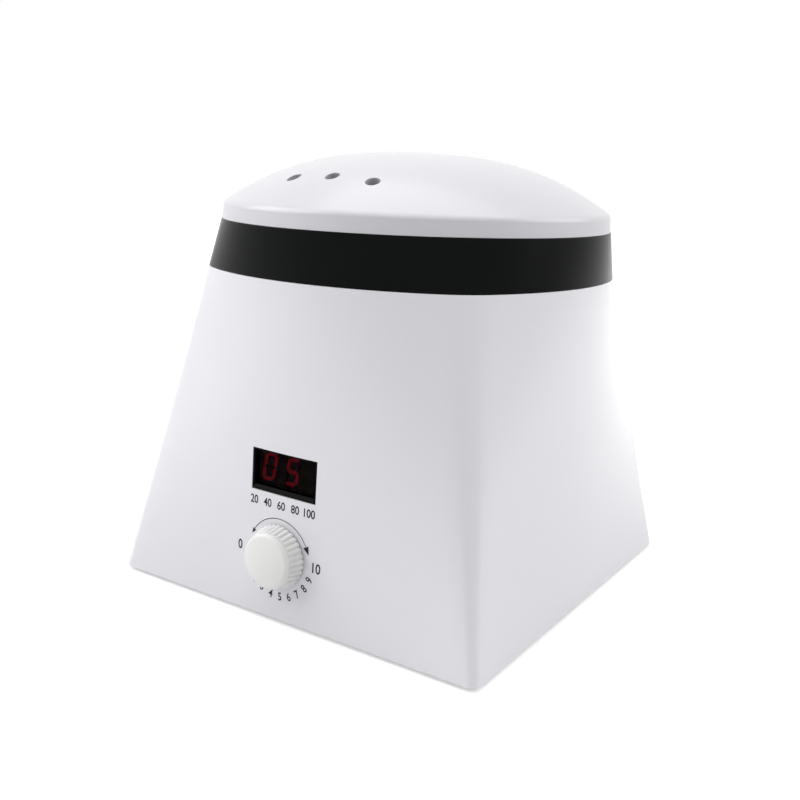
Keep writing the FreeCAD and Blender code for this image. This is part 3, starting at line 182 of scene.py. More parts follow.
LAMP_AIM = (0, 0, 0.08)
softbox("left_softbox", (-1.10, -0.65, 0.85), LAMP_AIM, 1.2, 1.0, 12.6)
softbox("right_softbox", (1.10, 0.75, 0.85), LAMP_AIM, 1.2, 1.0, 9.4)
softbox("top_softbox", (0.0, -0.1, 1.40), LAMP_AIM, 1.8, 1.8, 16.5)

bpy.context.scene.view_settings.view_transform = "Standard"

# The housing is one gloss white moulding, square at the foot and round at the top.
# Straight lines run from the foot's outline to the circle, so each corner's crease fades upwards.
SIDE_STEPS = 28
CORNER_STEPS = 6
QUARTER_STEPS = SIDE_STEPS + CORNER_STEPS
ROUND_STEPS = 4 * QUARTER_STEPS
TAPER_ROWS = 24
CORNER_RADIUS = 0.0035
CORNER_FADE = math.radians(9.0)
LID_RIM_INSET = 0.0002
SHELL_WALL = 0.0025
INNER_CORNER_RADIUS = 0.001
EDGE_ROUND = 0.00035
MERGE_REACH = 1e-6
CUT_REACH = 1e-7
PLACING_ROUNDS = 6
CLEARED_SIDES = 3.0
SEARCHED_SIDES = 2.5
CLOUD_DETAIL = 3.0
GRAIN_DETAIL = 2.0
GRAIN_DEPTH = 0.0002

shell_low, shell_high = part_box("outer_shell")
FOOT_HALF = shell_high[0]
SHELL_LOW = shell_low[2]
SHELL_TOP = shell_high[2]
BAND_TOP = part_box("band_ring")[1][2]
TOP_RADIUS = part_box("lid_cover")[1][0] + LID_RIM_INSET
FACE_TILT = math.atan((FOOT_HALF - TOP_RADIUS) / (BAND_TOP - SHELL_LOW))
FACE_UP = Vector((0, math.sin(FACE_TILT), math.cos(FACE_TILT)))
FACE_OUT = Vector((0, -math.cos(FACE_TILT), math.sin(FACE_TILT)))
FACE_FOOT = Vector((0, -FOOT_HALF, SHELL_LOW))


def turned_about_z(point, angle):
    return Matrix.Rotation(angle, 4, "Z") @ point


def top_angle(number):
    """Angle on the round top of one of the lines that run up the taper."""
    quarter, step = divmod(number, QUARTER_STEPS)
    start = math.radians(-135 + 90 * quarter) + CORNER_FADE / 2
    if step <= SIDE_STEPS:
        return start + (math.pi / 2 - CORNER_FADE) * step / SIDE_STEPS
    return start + math.pi / 2 - CORNER_FADE + CORNER_FADE * (step - SIDE_STEPS) / CORNER_STEPS


def taper_point(number, z, inset=0.0):
    """Point at a height on one of the straight lines from foot to top, drawn in by a wall."""
    quarter, step = divmod(number % ROUND_STEPS, QUARTER_STEPS)
    half = FOOT_HALF - inset
    radius = max(CORNER_RADIUS - inset, INNER_CORNER_RADIUS)
    inner = half - radius
    if step <= SIDE_STEPS:
        foot = Vector((inner * (2 * step / SIDE_STEPS - 1), -half, 0))
    else:
        bend = math.radians(-90 + 90 * (step - SIDE_STEPS) / CORNER_STEPS)
        foot = Vector((inner + radius * math.cos(bend), -inner + radius * math.sin(bend), 0))
    foot = turned_about_z(foot, math.radians(90 * quarter))
    angle = top_angle(number % ROUND_STEPS)
    top = Vector((math.cos(angle), math.sin(angle), 0)) * (TOP_RADIUS - inset)
    share = (z - SHELL_LOW) / (BAND_TOP - SHELL_LOW)
    level = foot.lerp(top, share)
    level.z = z
    return level


def circle_point(number, radius, z):
    angle = top_angle(number % ROUND_STEPS)
    return Vector((radius * math.cos(angle), radius * math.sin(angle), z))


def front_point(x, height, lift=0.0):
    """Point of the front face at a place across and a height up the face, lifted off it."""
    z = SHELL_LOW + height * math.cos(FACE_TILT)
    share = (z - SHELL_LOW) / (BAND_TOP - SHELL_LOW)
    inner = FOOT_HALF - CORNER_RADIUS
    spread = math.pi / 4 - CORNER_FADE / 2
    along = x / inner
    for _ in range(PLACING_ROUNDS):
        reached = (1 - share) * inner * along + share * TOP_RADIUS * math.sin(spread * along)
        along += (x - reached) / inner
    y = -((1 - share) * FOOT_HALF + share * TOP_RADIUS * math.cos(spread * along))
    return Vector((x, y, z)) + FACE_OUT * lift


def first_ring(bm, place, count=ROUND_STEPS):
    """Numbered ring of corners; the number says which line of the piece each corner is on."""
    number = bm.verts.layers.int.new("line")
    ring = bmesh.ops.create_circle(bm, segments=count, radius=1)["verts"]
    for k, corner in enumerate(ring):
        corner[number] = k
        corner.co = place(k)
    return [e for e in bm.edges]


def next_ring(bm, edges, place):
    """Extrudes a numbered ring and sets each new corner where its number puts it."""
    number = bm.verts.layers.int["line"]
    grown = bmesh.ops.extrude_edge_only(bm, edges=edges)["geom"]
    corners = {g for g in grown if isinstance(g, bmesh.types.BMVert)}
    for corner in corners:
        corner.co = place(corner[number])
    return [g for g in grown if isinstance(g, bmesh.types.BMEdge)
            and all(v in corners for v in g.verts)]


def skinned(bm, rings, closed=True, count=ROUND_STEPS):
    edges = first_ring(bm, rings[0], count)
    for place in rings[1:] + (rings[:1] if closed else []):
        edges = next_ring(bm, edges, place)
    bmesh.ops.remove_doubles(bm, verts=bm.verts, dist=MERGE_REACH)
    bmesh.ops.recalc_face_normals(bm, faces=bm.faces)
    return bm


def near_faces(bm, centre, reach):
    return [f for f in bm.faces if (f.calc_center_median() - centre).length < reach]


def open_rectangle(bm, centre, across, upward, width, height, reach):
    """Cuts a rectangle out of the faces near a centre."""
    for axis, half in ((across, width / 2), (upward, height / 2)):
        for side in (-1, 1):
            faces = near_faces(bm, centre, reach)
            geometry = faces + list({e for f in faces for e in f.edges}) + \
                list({v for f in faces for v in f.verts})
            bmesh.ops.bisect_plane(bm, geom=geometry, dist=CUT_REACH, plane_co=centre + axis * half * side,
                                   plane_no=axis * side)
    inside = [f for f in near_faces(bm, centre, reach)
              if abs((f.calc_center_median() - centre).dot(across)) < width / 2
              and abs((f.calc_center_median() - centre).dot(upward)) < height / 2]
    bmesh.ops.delete(bm, geom=inside, context="FACES")


def open_circle(bm, centre, across, upward, radius, steps, place):
    """Cuts a square out round a centre and fills it in again down to a round hole."""
    side = radius * CLEARED_SIDES
    before = {e for e in bm.edges if e.is_boundary}
    open_rectangle(bm, centre, across, upward, side, side, side * SEARCHED_SIDES)
    square = [e for e in bm.edges if e.is_boundary and e not in before
              and (e.verts[0].co - centre).length < side]
    ring = bmesh.ops.create_circle(bm, segments=steps, radius=radius)["verts"]
    for k, corner in enumerate(ring):
        angle = 2 * math.pi * k / steps
        corner.co = place(radius * math.cos(angle), radius * math.sin(angle))
    hole = list({e for v in ring for e in v.link_edges})
    bmesh.ops.bridge_loops(bm, edges=square + hole)


def moulded_finish():
    """Node group: faint clouding of the colour, of the polish and of the surface of a moulding."""
    group = bpy.data.node_groups.new("moulded_finish", "ShaderNodeTree")
    face = group.interface
    for name, kind in (("Colour", "NodeSocketColor"), ("Cloud Colour", "NodeSocketColor"),
                       ("Low Roughness", "NodeSocketFloat"), ("High Roughness", "NodeSocketFloat"),
                       ("Cloud Scale", "NodeSocketFloat"), ("Grain Scale", "NodeSocketFloat")):
        face.new_socket(name, in_out="INPUT", socket_type=kind)
    for name, kind in (("Colour", "NodeSocketColor"), ("Roughness", "NodeSocketFloat"),
                       ("Height", "NodeSocketFloat")):
        face.new_socket(name, in_out="OUTPUT", socket_type=kind)
    nodes = group.nodes
    links = group.links
    given = nodes.new("NodeGroupInput")
    result = nodes.new("NodeGroupOutput")
    place = nodes.new("ShaderNodeTexCoord")
    cloud = nodes.new("ShaderNodeTexNoise")
    cloud.inputs["Detail"].default_value = CLOUD_DETAIL
    grain = nodes.new("ShaderNodeTexNoise")
    grain.inputs["Detail"].default_value = GRAIN_DETAIL
    links.new(place.outputs["Object"], cloud.inputs["Vector"])
    links.new(place.outputs["Object"], grain.inputs["Vector"])
    links.new(given.outputs["Cloud Scale"], cloud.inputs["Scale"])
    links.new(given.outputs["Grain Scale"], grain.inputs["Scale"])
    tint = nodes.new("ShaderNodeMix")
    tint.data_type = "RGBA"
    links.new(cloud.outputs["Fac"], tint.inputs["Factor"])
    links.new(given.outputs["Colour"], tint.inputs["A"])
    links.new(given.outputs["Cloud Colour"], tint.inputs["B"])
    links.new(tint.outputs["Result"], result.inputs["Colour"])
    polish = nodes.new("ShaderNodeMapRange")
    links.new(cloud.outputs["Fac"], polish.inputs["Value"])
    links.new(given.outputs["Low Roughness"], polish.inputs["To Min"])
    links.new(given.outputs["High Roughness"], polish.inputs["To Max"])
    links.new(polish.outputs["Result"], result.inputs["Roughness"])
    links.new(grain.outputs["Fac"], result.inputs["Height"])
    return group


MOULDED = moulded_finish()


def moulded(name, colour, cloud_colour, roughness, cloud_scale=14.0, grain_scale=900.0, bump=0.02,
            specular=0.5):
    """Moulded plastic or rubber: clouded colour and polish over a fine grain."""
    material, tree, shader = new_material(name)
    finish = tree.nodes.new("ShaderNodeGroup")
    finish.node_tree = MOULDED
    finish.inputs["Colour"].default_value = (*colour, 1)
    finish.inputs["Cloud Colour"].default_value = (*cloud_colour, 1)
    finish.inputs["Low Roughness"].default_value = roughness[0]
    finish.inputs["High Roughness"].default_value = roughness[1]
    finish.inputs["Cloud Scale"].default_value = cloud_scale
    finish.inputs["Grain Scale"].default_value = grain_scale
    relief = tree.nodes.new("ShaderNodeBump")
    relief.inputs["Strength"].default_value = bump
    relief.inputs["Distance"].default_value = GRAIN_DEPTH
    tree.links.new(finish.outputs["Height"], relief.inputs["Height"])
    tree.links.new(relief.outputs["Normal"], shader.inputs["Normal"])
    tree.links.new(finish.outputs["Colour"], shader.inputs["Base Color"])
    tree.links.new(finish.outputs["Roughness"], shader.inputs["Roughness"])
    shader.inputs["Specular IOR Level"].default_value = specular
    return material


def finished_edges(shown, width=EDGE_ROUND, angle=50.0, segments=3):
    """Rounds every crease of a piece by the small radius that a mould leaves."""
    bevel = shown.modifiers.new("mould_radius", "BEVEL")
    bevel.width = width
    bevel.segments = segments
    bevel.limit_method = "ANGLE"
    bevel.angle_limit = math.radians(angle)
    bevel.harden_normals = True
    return shown


WINDOW_HALF_WIDTH = 0.0143
WINDOW_HALF_HEIGHT = 0.00755
WINDOW_CENTRE = 0.0531
WINDOW_OFFSET = -0.0004
KNOB_CENTRE = 0.0236
KNOB_OFFSET = -0.001
BUSH_HOLE = 0.0037
INLET_CENTRE = 0.022
INLET_HALF_WIDTH = 0.0107
INLET_HALF_HEIGHT = 0.0067
WINDOW_SEARCH = 0.030
INLET_SEARCH = 0.024
HOLE_STEPS = 32
LONG_EDGE = 0.01

ACROSS = Vector((1, 0, 0))
shell = bmesh.new()
foot_ring = first_ring(shell, lambda k: taper_point(k, SHELL_LOW))
next_ring(shell, foot_ring, lambda k: taper_point(k, SHELL_TOP))
rising = [e for e in shell.edges if abs(e.verts[0].co.z - e.verts[1].co.z) > LONG_EDGE]
bmesh.ops.subdivide_edges(shell, edges=rising, cuts=TAPER_ROWS - 1, use_grid_fill=True)
bmesh.ops.recalc_face_normals(shell, faces=shell.faces)
open_rectangle(shell, front_point(WINDOW_OFFSET, WINDOW_CENTRE), ACROSS, FACE_UP,
               2 * WINDOW_HALF_WIDTH, 2 * WINDOW_HALF_HEIGHT, WINDOW_SEARCH)
open_circle(shell, front_point(KNOB_OFFSET, KNOB_CENTRE), ACROSS, FACE_UP, BUSH_HOLE, HOLE_STEPS,
            lambda x, h: front_point(KNOB_OFFSET + x, KNOB_CENTRE + h))
rear_centre = turned_about_z(front_point(0, INLET_CENTRE), math.pi)
rear_up = turned_about_z(FACE_UP, math.pi)
open_rectangle(shell, rear_centre, ACROSS, rear_up, 2 * INLET_HALF_WIDTH, 2 * INLET_HALF_HEIGHT,
               INLET_SEARCH)
WHITE_GLOSS = moulded("white_gloss", (0.80, 0.79, 0.83), (0.78, 0.77, 0.81), (0.20, 0.27))
housing = piece("housing_shell", shell, WHITE_GLOSS, "housing", ("outer_shell",))
thick = housing.modifiers.new("wall", "SOLIDIFY")
thick.thickness = SHELL_WALL
thick.offset = -1
thick.use_even_offset = True
finished_edges(housing)

# The band is a black gloss ring, flush with the housing, that carries the pot and the lid.
# It is moulded with a recess for the lid's skirt, a shelf for the pot and a spigot into the shell.
RECESS_RADIUS = 0.069
RECESS_DEPTH = 0.007
SHELF_THICKNESS = 0.003
SHELF_BORE = 0.056
BAND_BORE = 0.070
SPIGOT_DEPTH = 0.006
SPIGOT_INSET = 0.0027
BAND_JOINT = 0.0001
BAND_EDGE = 0.0003

shelf_top = BAND_TOP - RECESS_DEPTH
shelf_low = shelf_top - SHELF_THICKNESS
spigot_low = SHELL_TOP - SPIGOT_DEPTH
band_low = SHELL_TOP + BAND_JOINT
band_middle = (band_low + BAND_TOP) / 2
band = skinned(bmesh.new(), [
    lambda k: taper_point(k, band_low),
    lambda k: taper_point(k, band_middle),
    lambda k: taper_point(k, BAND_TOP),
    lambda k: circle_point(k, RECESS_RADIUS, BAND_TOP),
    lambda k: circle_point(k, RECESS_RADIUS, shelf_top),
    lambda k: circle_point(k, SHELF_BORE, shelf_top),
    lambda k: circle_point(k, SHELF_BORE, shelf_low),
    lambda k: circle_point(k, BAND_BORE, shelf_low),
    lambda k: circle_point(k, BAND_BORE, spigot_low),
    lambda k: taper_point(k, spigot_low, SPIGOT_INSET),
    lambda k: taper_point(k, band_low, SPIGOT_INSET),
])
BLACK_GLOSS = moulded("black_gloss", (0.002, 0.0024, 0.0023), (0.004, 0.0048, 0.0046), (0.18, 0.26),
                      cloud_scale=30.0, specular=0.06)
finished_edges(piece("band", band, BLACK_GLOSS, "housing", ("band_ring",)),
               width=BAND_EDGE)

# The lid is a thin white moulding: a low dome over a short upright rim, pierced by three vents.
# A skirt under it drops into the band's recess and keeps it in place; it simply lifts off.
LID_STEPS = 144
LID_RIM_HEIGHT = 0.0061
LID_RIM_DRAFT = 0.0005
LID_WALL = 0.0022
LID_POWER = 2.55
LID_SHOULDER = 0.0013
SHOULDER_STEPS = 8
DOME_ROWS = 26
DOME_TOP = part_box("lid_cover")[1][2]
SKIRT_OUTER = 0.0685
SKIRT_INNER = 0.0667
SKIRT_DEPTH = 0.003
SKIRT_ROOT = 0.0018
LID_EDGE = 0.0007
LID_CREASE = 25.0
VENT_RADIUS = 0.0026
VENT_SPACING = 0.0168
VENT_OFFSET = 0.054
VENT_CLEARED = 0.0065
VENT_LAND = 0.0043
VENT_LEAN = 0.0010

lid_radius = TOP_RADIUS - LID_RIM_INSET
dome_low = BAND_TOP + LID_RIM_HEIGHT
dome_radius = lid_radius - LID_RIM_DRAFT


def dome_height(r, inner=False):
    """Height of the dome's outer or inner face at a radius."""
    radius = dome_radius - LID_WALL if inner else dome_radius
    low = dome_low - LID_WALL if inner else dome_low
    return low + (DOME_TOP - dome_low) * (1 - min(abs(r) / radius, 1) ** LID_POWER)


def lid_outline():
    """Outline of the lid's wall from the top of the dome, round the rim and skirt, back inside."""
    outer = [dome_radius * math.sin(math.pi / 2 * k / DOME_ROWS) for k in range(DOME_ROWS + 1)]
    inner_radius = dome_radius - LID_WALL
    inner = [inner_radius * math.sin(math.pi / 2 * k / DOME_ROWS) for k in range(DOME_ROWS, -1, -1)]
    bend_from = dome_radius - LID_SHOULDER
    bend_to = dome_radius + LID_RIM_DRAFT * LID_SHOULDER / LID_RIM_HEIGHT
    points = [(r, dome_height(r)) for r in outer if r < bend_from - LID_SHOULDER / 4]
    for k in range(SHOULDER_STEPS + 1):
        t = k / SHOULDER_STEPS
        points.append(((1 - t) ** 2 * bend_from + 2 * t * (1 - t) * dome_radius + t ** 2 * bend_to,
                       (1 - t) ** 2 * dome_height(bend_from) + 2 * t * (1 - t) * dome_low
                       + t ** 2 * (dome_low - LID_SHOULDER)))
    points += [(lid_radius, BAND_TOP), (SKIRT_OUTER, BAND_TOP), (SKIRT_OUTER, BAND_TOP - SKIRT_DEPTH),
               (SKIRT_INNER, BAND_TOP - SKIRT_DEPTH), (SKIRT_INNER, BAND_TOP + SKIRT_ROOT)]
    points += [(r, dome_height(r, True)) for r in inner]
    return points


lid = bmesh.new()
corners = [lid.verts.new((r, 0, z)) for r, z in lid_outline()]
outline = [lid.edges.new(pair) for pair in zip(corners, corners[1:])]
bmesh.ops.spin(lid, geom=corners + outline, cent=(0, 0, 0), axis=(0, 0, 1), steps=LID_STEPS,
               angle=2 * math.pi, use_merge=True)
bmesh.ops.remove_doubles(lid, verts=lid.verts, dist=MERGE_REACH)
bmesh.ops.recalc_face_normals(lid, faces=lid.faces)


def on_inner_face(corner):
    r = math.hypot(corner.co.x, corner.co.y)
    return abs(corner.co.z - dome_height(r, True)) < abs(corner.co.z - dome_height(r))


def pierce_vent(bm, x, y):
    """Opens one vent square to the dome, through both its faces, and joins its edges by a wall."""

    def from_vent(point):
        return math.hypot(point.x - x, point.y - y)

    cleared = [f for f in bm.faces
               if from_vent(f.calc_center_median()) < VENT_CLEARED and f.calc_center_median().z > dome_low]
    bmesh.ops.delete(bm, geom=cleared, context="FACES")
    rims = []
    for inner in (False, True):
        nearer = 1 - VENT_LEAN / math.hypot(x, y) if inner else 1
        middle = (x * nearer, y * nearer)
        edges = [e for e in bm.edges if e.is_boundary and on_inner_face(e.verts[0]) == inner
                 and from_vent(e.verts[0].co) < 2 * VENT_CLEARED]
        halved = bmesh.ops.subdivide_edges(bm, edges=edges, cuts=1)["geom_split"]
        edges = [g for g in halved if isinstance(g, bmesh.types.BMEdge) and g.is_boundary]
        for radius in (VENT_LAND, VENT_RADIUS):
            grown = bmesh.ops.extrude_edge_only(bm, edges=edges)["geom"]
            fresh = {g for g in grown if isinstance(g, bmesh.types.BMVert)}
            for corner in fresh:
                angle = math.atan2(corner.co.y - middle[1], corner.co.x - middle[0])
                px = middle[0] + radius * math.cos(angle)
                py = middle[1] + radius * math.sin(angle)
                corner.co = (px, py, dome_height(math.hypot(px, py), inner))
            edges = [g for g in grown if isinstance(g, bmesh.types.BMEdge)
                     and all(v in fresh for v in g.verts)]
        rims += edges
    bmesh.ops.bridge_loops(bm, edges=rims)


for place in (-1, 0, 1):
    pierce_vent(lid, place * VENT_SPACING, -VENT_OFFSET)
bmesh.ops.recalc_face_normals(lid, faces=lid.faces)
# The lid's white is painted darker than the housing's, a painted shade for its upright rim, while the top
# softbox lights the dome back up.
SHADED_LID_GLOSS = moulded("lid_gloss_painted_shade", (0.66, 0.65, 0.685), (0.64, 0.63, 0.665), (0.22, 0.30))
lid_piece = piece("lid_shell", lid, SHADED_LID_GLOSS, "lid", ("lid_cover",),
                  smooth_below=LID_CREASE)
finished_edges(lid_piece, width=LID_EDGE, angle=LID_CREASE, segments=4)

# The knob is a white moulding pushed on the shaft: a ribbed skirt and a smooth, slightly domed face.
# It is hollow behind, so that it covers the nut that holds the potentiometer.
KNOB_BASE_RADIUS = 0.0116
KNOB_FACE_RADIUS = 0.0101
KNOB_HEIGHT = 0.0086
KNOB_CROWN = 0.0009
KNOB_EDGE = 0.0016
KNOB_GAP = 0.0006
KNOB_RIBS = 34
KNOB_RIB_DEPTH = 0.00065
KNOB_CAVITY = 0.008
RIB_STEPS = 8
KNOB_BORE = 0.00305
KNOB_CAVITY_DEPTH = 0.0044
KNOB_BORE_END = 0.0003
KNOB_BACK_STEP = 0.0003
KNOB_BACK_EDGE = 0.0002
RIB_FULLNESS = 0.8
RIB_FADE = ((0.2, 1.0), (0.4, 1.0), (0.6, 1.0), (0.75, 0.95), (0.87, 0.8), (0.95, 0.5), (1.0, 0.2))
EDGE_ROWS = 6
FACE_ROWS = 7

KNOB_FOOT = FACE_FOOT + ACROSS * KNOB_OFFSET + FACE_UP * KNOB_CENTRE
knob_steps = KNOB_RIBS * RIB_STEPS
shoulder = KNOB_HEIGHT - KNOB_CROWN - KNOB_EDGE


def knob_point(number, radius, height, ribs):
    """Point round the knob; ribs from 0 to 1 says how deep the grooves between the ribs are."""
    phase = (number % RIB_STEPS) / RIB_STEPS
    groove = KNOB_RIB_DEPTH * ribs * (1 - math.sin(math.pi * phase) ** RIB_FULLNESS)
    angle = 2 * math.pi * number / knob_steps
    r = radius - groove
    return KNOB_FOOT + ACROSS * r * math.cos(angle) + FACE_UP * r * math.sin(angle) + FACE_OUT * height


def knob_ring(radius, height, ribs=0.0):
    return lambda k: knob_point(k, radius, height, ribs)


face_radius = KNOB_FACE_RADIUS - KNOB_RIB_DEPTH / 3
knob_rings = [knob_ring(KNOB_CAVITY, KNOB_GAP),
              knob_ring(KNOB_BASE_RADIUS - KNOB_RIB_DEPTH - KNOB_BACK_STEP, KNOB_GAP),
              knob_ring(KNOB_BASE_RADIUS, KNOB_GAP + KNOB_BACK_EDGE, 1.0)]
for share, ribs in RIB_FADE:
    radius = KNOB_BASE_RADIUS + (KNOB_FACE_RADIUS - KNOB_BASE_RADIUS) * share
    knob_rings.append(knob_ring(radius, KNOB_GAP + (shoulder - KNOB_GAP) * share, ribs))
for k in range(EDGE_ROWS):
    bend = math.pi / 2 * k / EDGE_ROWS
    radius = face_radius - KNOB_EDGE * (1 - math.cos(bend))
    knob_rings.append(knob_ring(radius, shoulder + KNOB_EDGE * math.sin(bend)))
inner_face = face_radius - KNOB_EDGE
for k in range(FACE_ROWS):
    share = 1 - k / FACE_ROWS
    knob_rings.append(knob_ring(inner_face * share, KNOB_HEIGHT - KNOB_CROWN * share ** 2))
knob = skinned(bmesh.new(), knob_rings, closed=False, count=knob_steps)
open_rims = [e for e in knob.edges if e.is_boundary]
crown = [e for e in open_rims if (e.verts[0].co - KNOB_FOOT).dot(FACE_OUT) > shoulder]
bmesh.ops.contextual_create(knob, geom=crown)
back = [e for e in open_rims if e not in crown]
back = next_ring(knob, back, knob_ring(KNOB_CAVITY, KNOB_CAVITY_DEPTH))
back = next_ring(knob, back, knob_ring(KNOB_BORE, KNOB_CAVITY_DEPTH))
back = next_ring(knob, back, knob_ring(KNOB_BORE, shoulder + KNOB_BORE_END))
bmesh.ops.contextual_create(knob, geom=back)
bmesh.ops.recalc_face_normals(knob, faces=knob.faces)
KNOB_SATIN = moulded("knob_satin", (0.83, 0.83, 0.82), (0.81, 0.81, 0.80), (0.36, 0.46), bump=0.03)
piece("knob_cap", knob, KNOB_SATIN, "knob", ("knob",), smooth_below=60.0)

# The display is a black gloss frame snapped into the window, with a smoked acrylic lens in front.
# A two-numeral red module lies behind the lens; its bars glow dimly through the acrylic.
BEZEL_EDGE = 0.00015
LENS_EDGE = 0.0001
LENS_INDEX = 1.0
NODE_MERGE = 2e-6
NODE_CREASE = 30.0
FLAT_WITHIN = math.radians(0.5)
BAR_GLOW = (1.0, 0.05, 0.08)
BAR_STRENGTH = 0.22
BAR_SHADE = 0.8


def softened(node, material, body, width):
    """Copy of a node as the construction made it, merged and given rounded edges."""
    bm = bmesh.new()
    bm.from_mesh(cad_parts[node].data)
    bmesh.ops.remove_doubles(bm, verts=bm.verts, dist=NODE_MERGE)
    bmesh.ops.dissolve_limit(bm, angle_limit=FLAT_WITHIN, verts=bm.verts, edges=bm.edges)
    shown = piece(node + "_finished", bm, material, body, (node,), smooth_below=NODE_CREASE)
    return finished_edges(shown, width=width, angle=NODE_CREASE, segments=2)


def glowing(name, colour, glow, strength):
    """Cast epoxy bar of a numeral: its colour, and the light that it gives."""
    material = moulded(name, colour, tuple(c * BAR_SHADE for c in colour), (0.35, 0.5), specular=0.05)
    shader = material.node_tree.nodes["Principled BSDF"]
    shader.inputs["Emission Color"].default_value = (*glow, 1)
    shader.inputs["Emission Strength"].default_value = strength
    return material


def dress(material, *names):
    for name in names:
        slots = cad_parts[name].data.materials
        slots.clear()
        slots.append(material)


BEZEL_GLOSS = moulded("bezel_gloss", (0.004, 0.0036, 0.0036), (0.007, 0.0065, 0.006), (0.18, 0.28),
                      cloud_scale=60.0, specular=0.03)
softened("display_bezel", BEZEL_GLOSS, "housing", BEZEL_EDGE)
smoked = moulded("smoked_acrylic", (0.28, 0.26, 0.26), (0.26, 0.24, 0.24), (0.03, 0.06), bump=0.004,
                 specular=0.0)
smoked_shader = smoked.node_tree.nodes["Principled BSDF"]
smoked_shader.inputs["Transmission Weight"].default_value = 1.0
smoked_shader.inputs["IOR"].default_value = LENS_INDEX
softened("display_lens", smoked, "housing", LENS_EDGE)
dress(glowing("lit_bars", (0.12, 0.012, 0.014), BAR_GLOW, BAR_STRENGTH), "segments_lit")
dress(glowing("unlit_bars", (0.045, 0.028, 0.028), BAR_GLOW, 0.0), "segments_unlit")
dress(moulded("module_face", (0.045, 0.038, 0.038), (0.052, 0.044, 0.044), (0.55, 0.7), bump=0.1,
              specular=0.05), "led_display")

# The scale is screen-printed in dark grey ink on the front face, before the knob is fitted.
# An arc with two arrowheads and plain numbers go round the knob; a row of numbers stands over it.
INK_LIFT = 0.00003
ARC_CENTRE = (-0.00125, 0.02367)
ARC_RADIUS = 0.01345
ARC_LINE = 0.00028
ARC_FROM = math.radians(147)
ARC_TO = math.radians(27)
ARC_STEPS = 48
LEFT_ARROW = (0.0022, 0.0016)
RIGHT_ARROW = (0.0029, 0.0025)
END_NUMBERS = (("0", -0.0192, 0.0237, 0.0036), ("10", 0.0156, 0.0232, 0.0037))
SCALE_NUMBERS = "123456789"
SCALE_RADIUS = 0.0149
SCALE_FROM = math.radians(211)
SCALE_TO = math.radians(339)
SCALE_HEIGHT = 0.0030
ROW_NUMBERS = ("20", "40", "60", "80", "100")
ROW_FROM = -0.0132
ROW_PITCH = 0.0062
ROW_CENTRE = 0.0420
ROW_HEIGHT = 0.0031
NUMBER_SLIM = 0.86
NUMBER_BOLD = 0.018


def print_shape(made, x, height, turn=0.0, widen=1.0):
    """Sets flat shapes, drawn round the origin, at their place on the front face."""
    for corner in made:
        px = corner.co.x * widen
        py = corner.co.y
        corner.co = front_point(x + px * math.cos(turn) - py * math.sin(turn),
                                height + px * math.sin(turn) + py * math.cos(turn), INK_LIFT)


def print_number(bm, words, x, height, tall, turn=0.0):
    """Number of a given height, centred on its place."""
    curve = bpy.data.curves.new("number", "FONT")
    curve.body = words
    curve.offset = NUMBER_BOLD
    drawn = bpy.data.objects.new("number", curve)
    bpy.context.scene.collection.objects.link(drawn)
    flat = bpy.data.meshes.new_from_object(drawn.evaluated_get(bpy.context.evaluated_depsgraph_get()))
    bpy.data.objects.remove(drawn)
    before = set(bm.verts)
    bm.from_mesh(flat)
    made = [v for v in bm.verts if v not in before]
    low = Vector((min(v.co.x for v in made), min(v.co.y for v in made), 0))
    high = Vector((max(v.co.x for v in made), max(v.co.y for v in made), 0))
    for corner in made:
        corner.co = (corner.co - (low + high) / 2) * (tall / (high.y - low.y))
    print_shape(made, x, height, turn, NUMBER_SLIM)


def print_arrow(bm, angle, length, width, direction):
    """Arrowhead at one end of the arc, pointing along it."""
    head = [bm.verts.new((0, length * direction, 0)), bm.verts.new((-width / 2, 0, 0)),
            bm.verts.new((width / 2, 0, 0))]
    bmesh.ops.contextual_create(bm, geom=head)
    print_shape(head, ARC_CENTRE[0] + ARC_RADIUS * math.cos(angle),
                ARC_CENTRE[1] + ARC_RADIUS * math.sin(angle), angle)


marks = bmesh.new()
line = [marks.verts.new((ARC_RADIUS + side * ARC_LINE / 2, 0, 0)) for side in (-1, 1)]
stroke = marks.edges.new(line)
bmesh.ops.rotate(marks, verts=line, cent=(0, 0, 0), matrix=Matrix.Rotation(ARC_TO, 3, "Z"))
bmesh.ops.spin(marks, geom=line + [stroke], cent=(0, 0, 0), axis=(0, 0, 1), steps=ARC_STEPS,
               angle=ARC_FROM - ARC_TO)
print_shape(list(marks.verts), *ARC_CENTRE)
print_arrow(marks, ARC_FROM, *LEFT_ARROW, 1)
print_arrow(marks, ARC_TO, *RIGHT_ARROW, -1)
for words, x, height, tall in END_NUMBERS:
    print_number(marks, words, x, height, tall)
for k, words in enumerate(SCALE_NUMBERS):
    angle = SCALE_FROM + (SCALE_TO - SCALE_FROM) * k / (len(SCALE_NUMBERS) - 1)
    print_number(marks, words, ARC_CENTRE[0] + SCALE_RADIUS * math.cos(angle),
                 ARC_CENTRE[1] + SCALE_RADIUS * math.sin(angle), SCALE_HEIGHT, angle + math.pi / 2)
for k, words in enumerate(ROW_NUMBERS):
    print_number(marks, words, ROW_FROM + k * ROW_PITCH, ROW_CENTRE, ROW_HEIGHT)
marks.normal_update()
bmesh.ops.reverse_faces(marks, faces=[f for f in marks.faces if f.normal.dot(FACE_OUT) < 0])
PRINT_INK = moulded("print_ink", (0.020, 0.020, 0.025), (0.028, 0.028, 0.033), (0.45, 0.6), cloud_scale=300.0,
                    specular=0.2)
piece("printed_scale", marks, PRINT_INK, "housing")

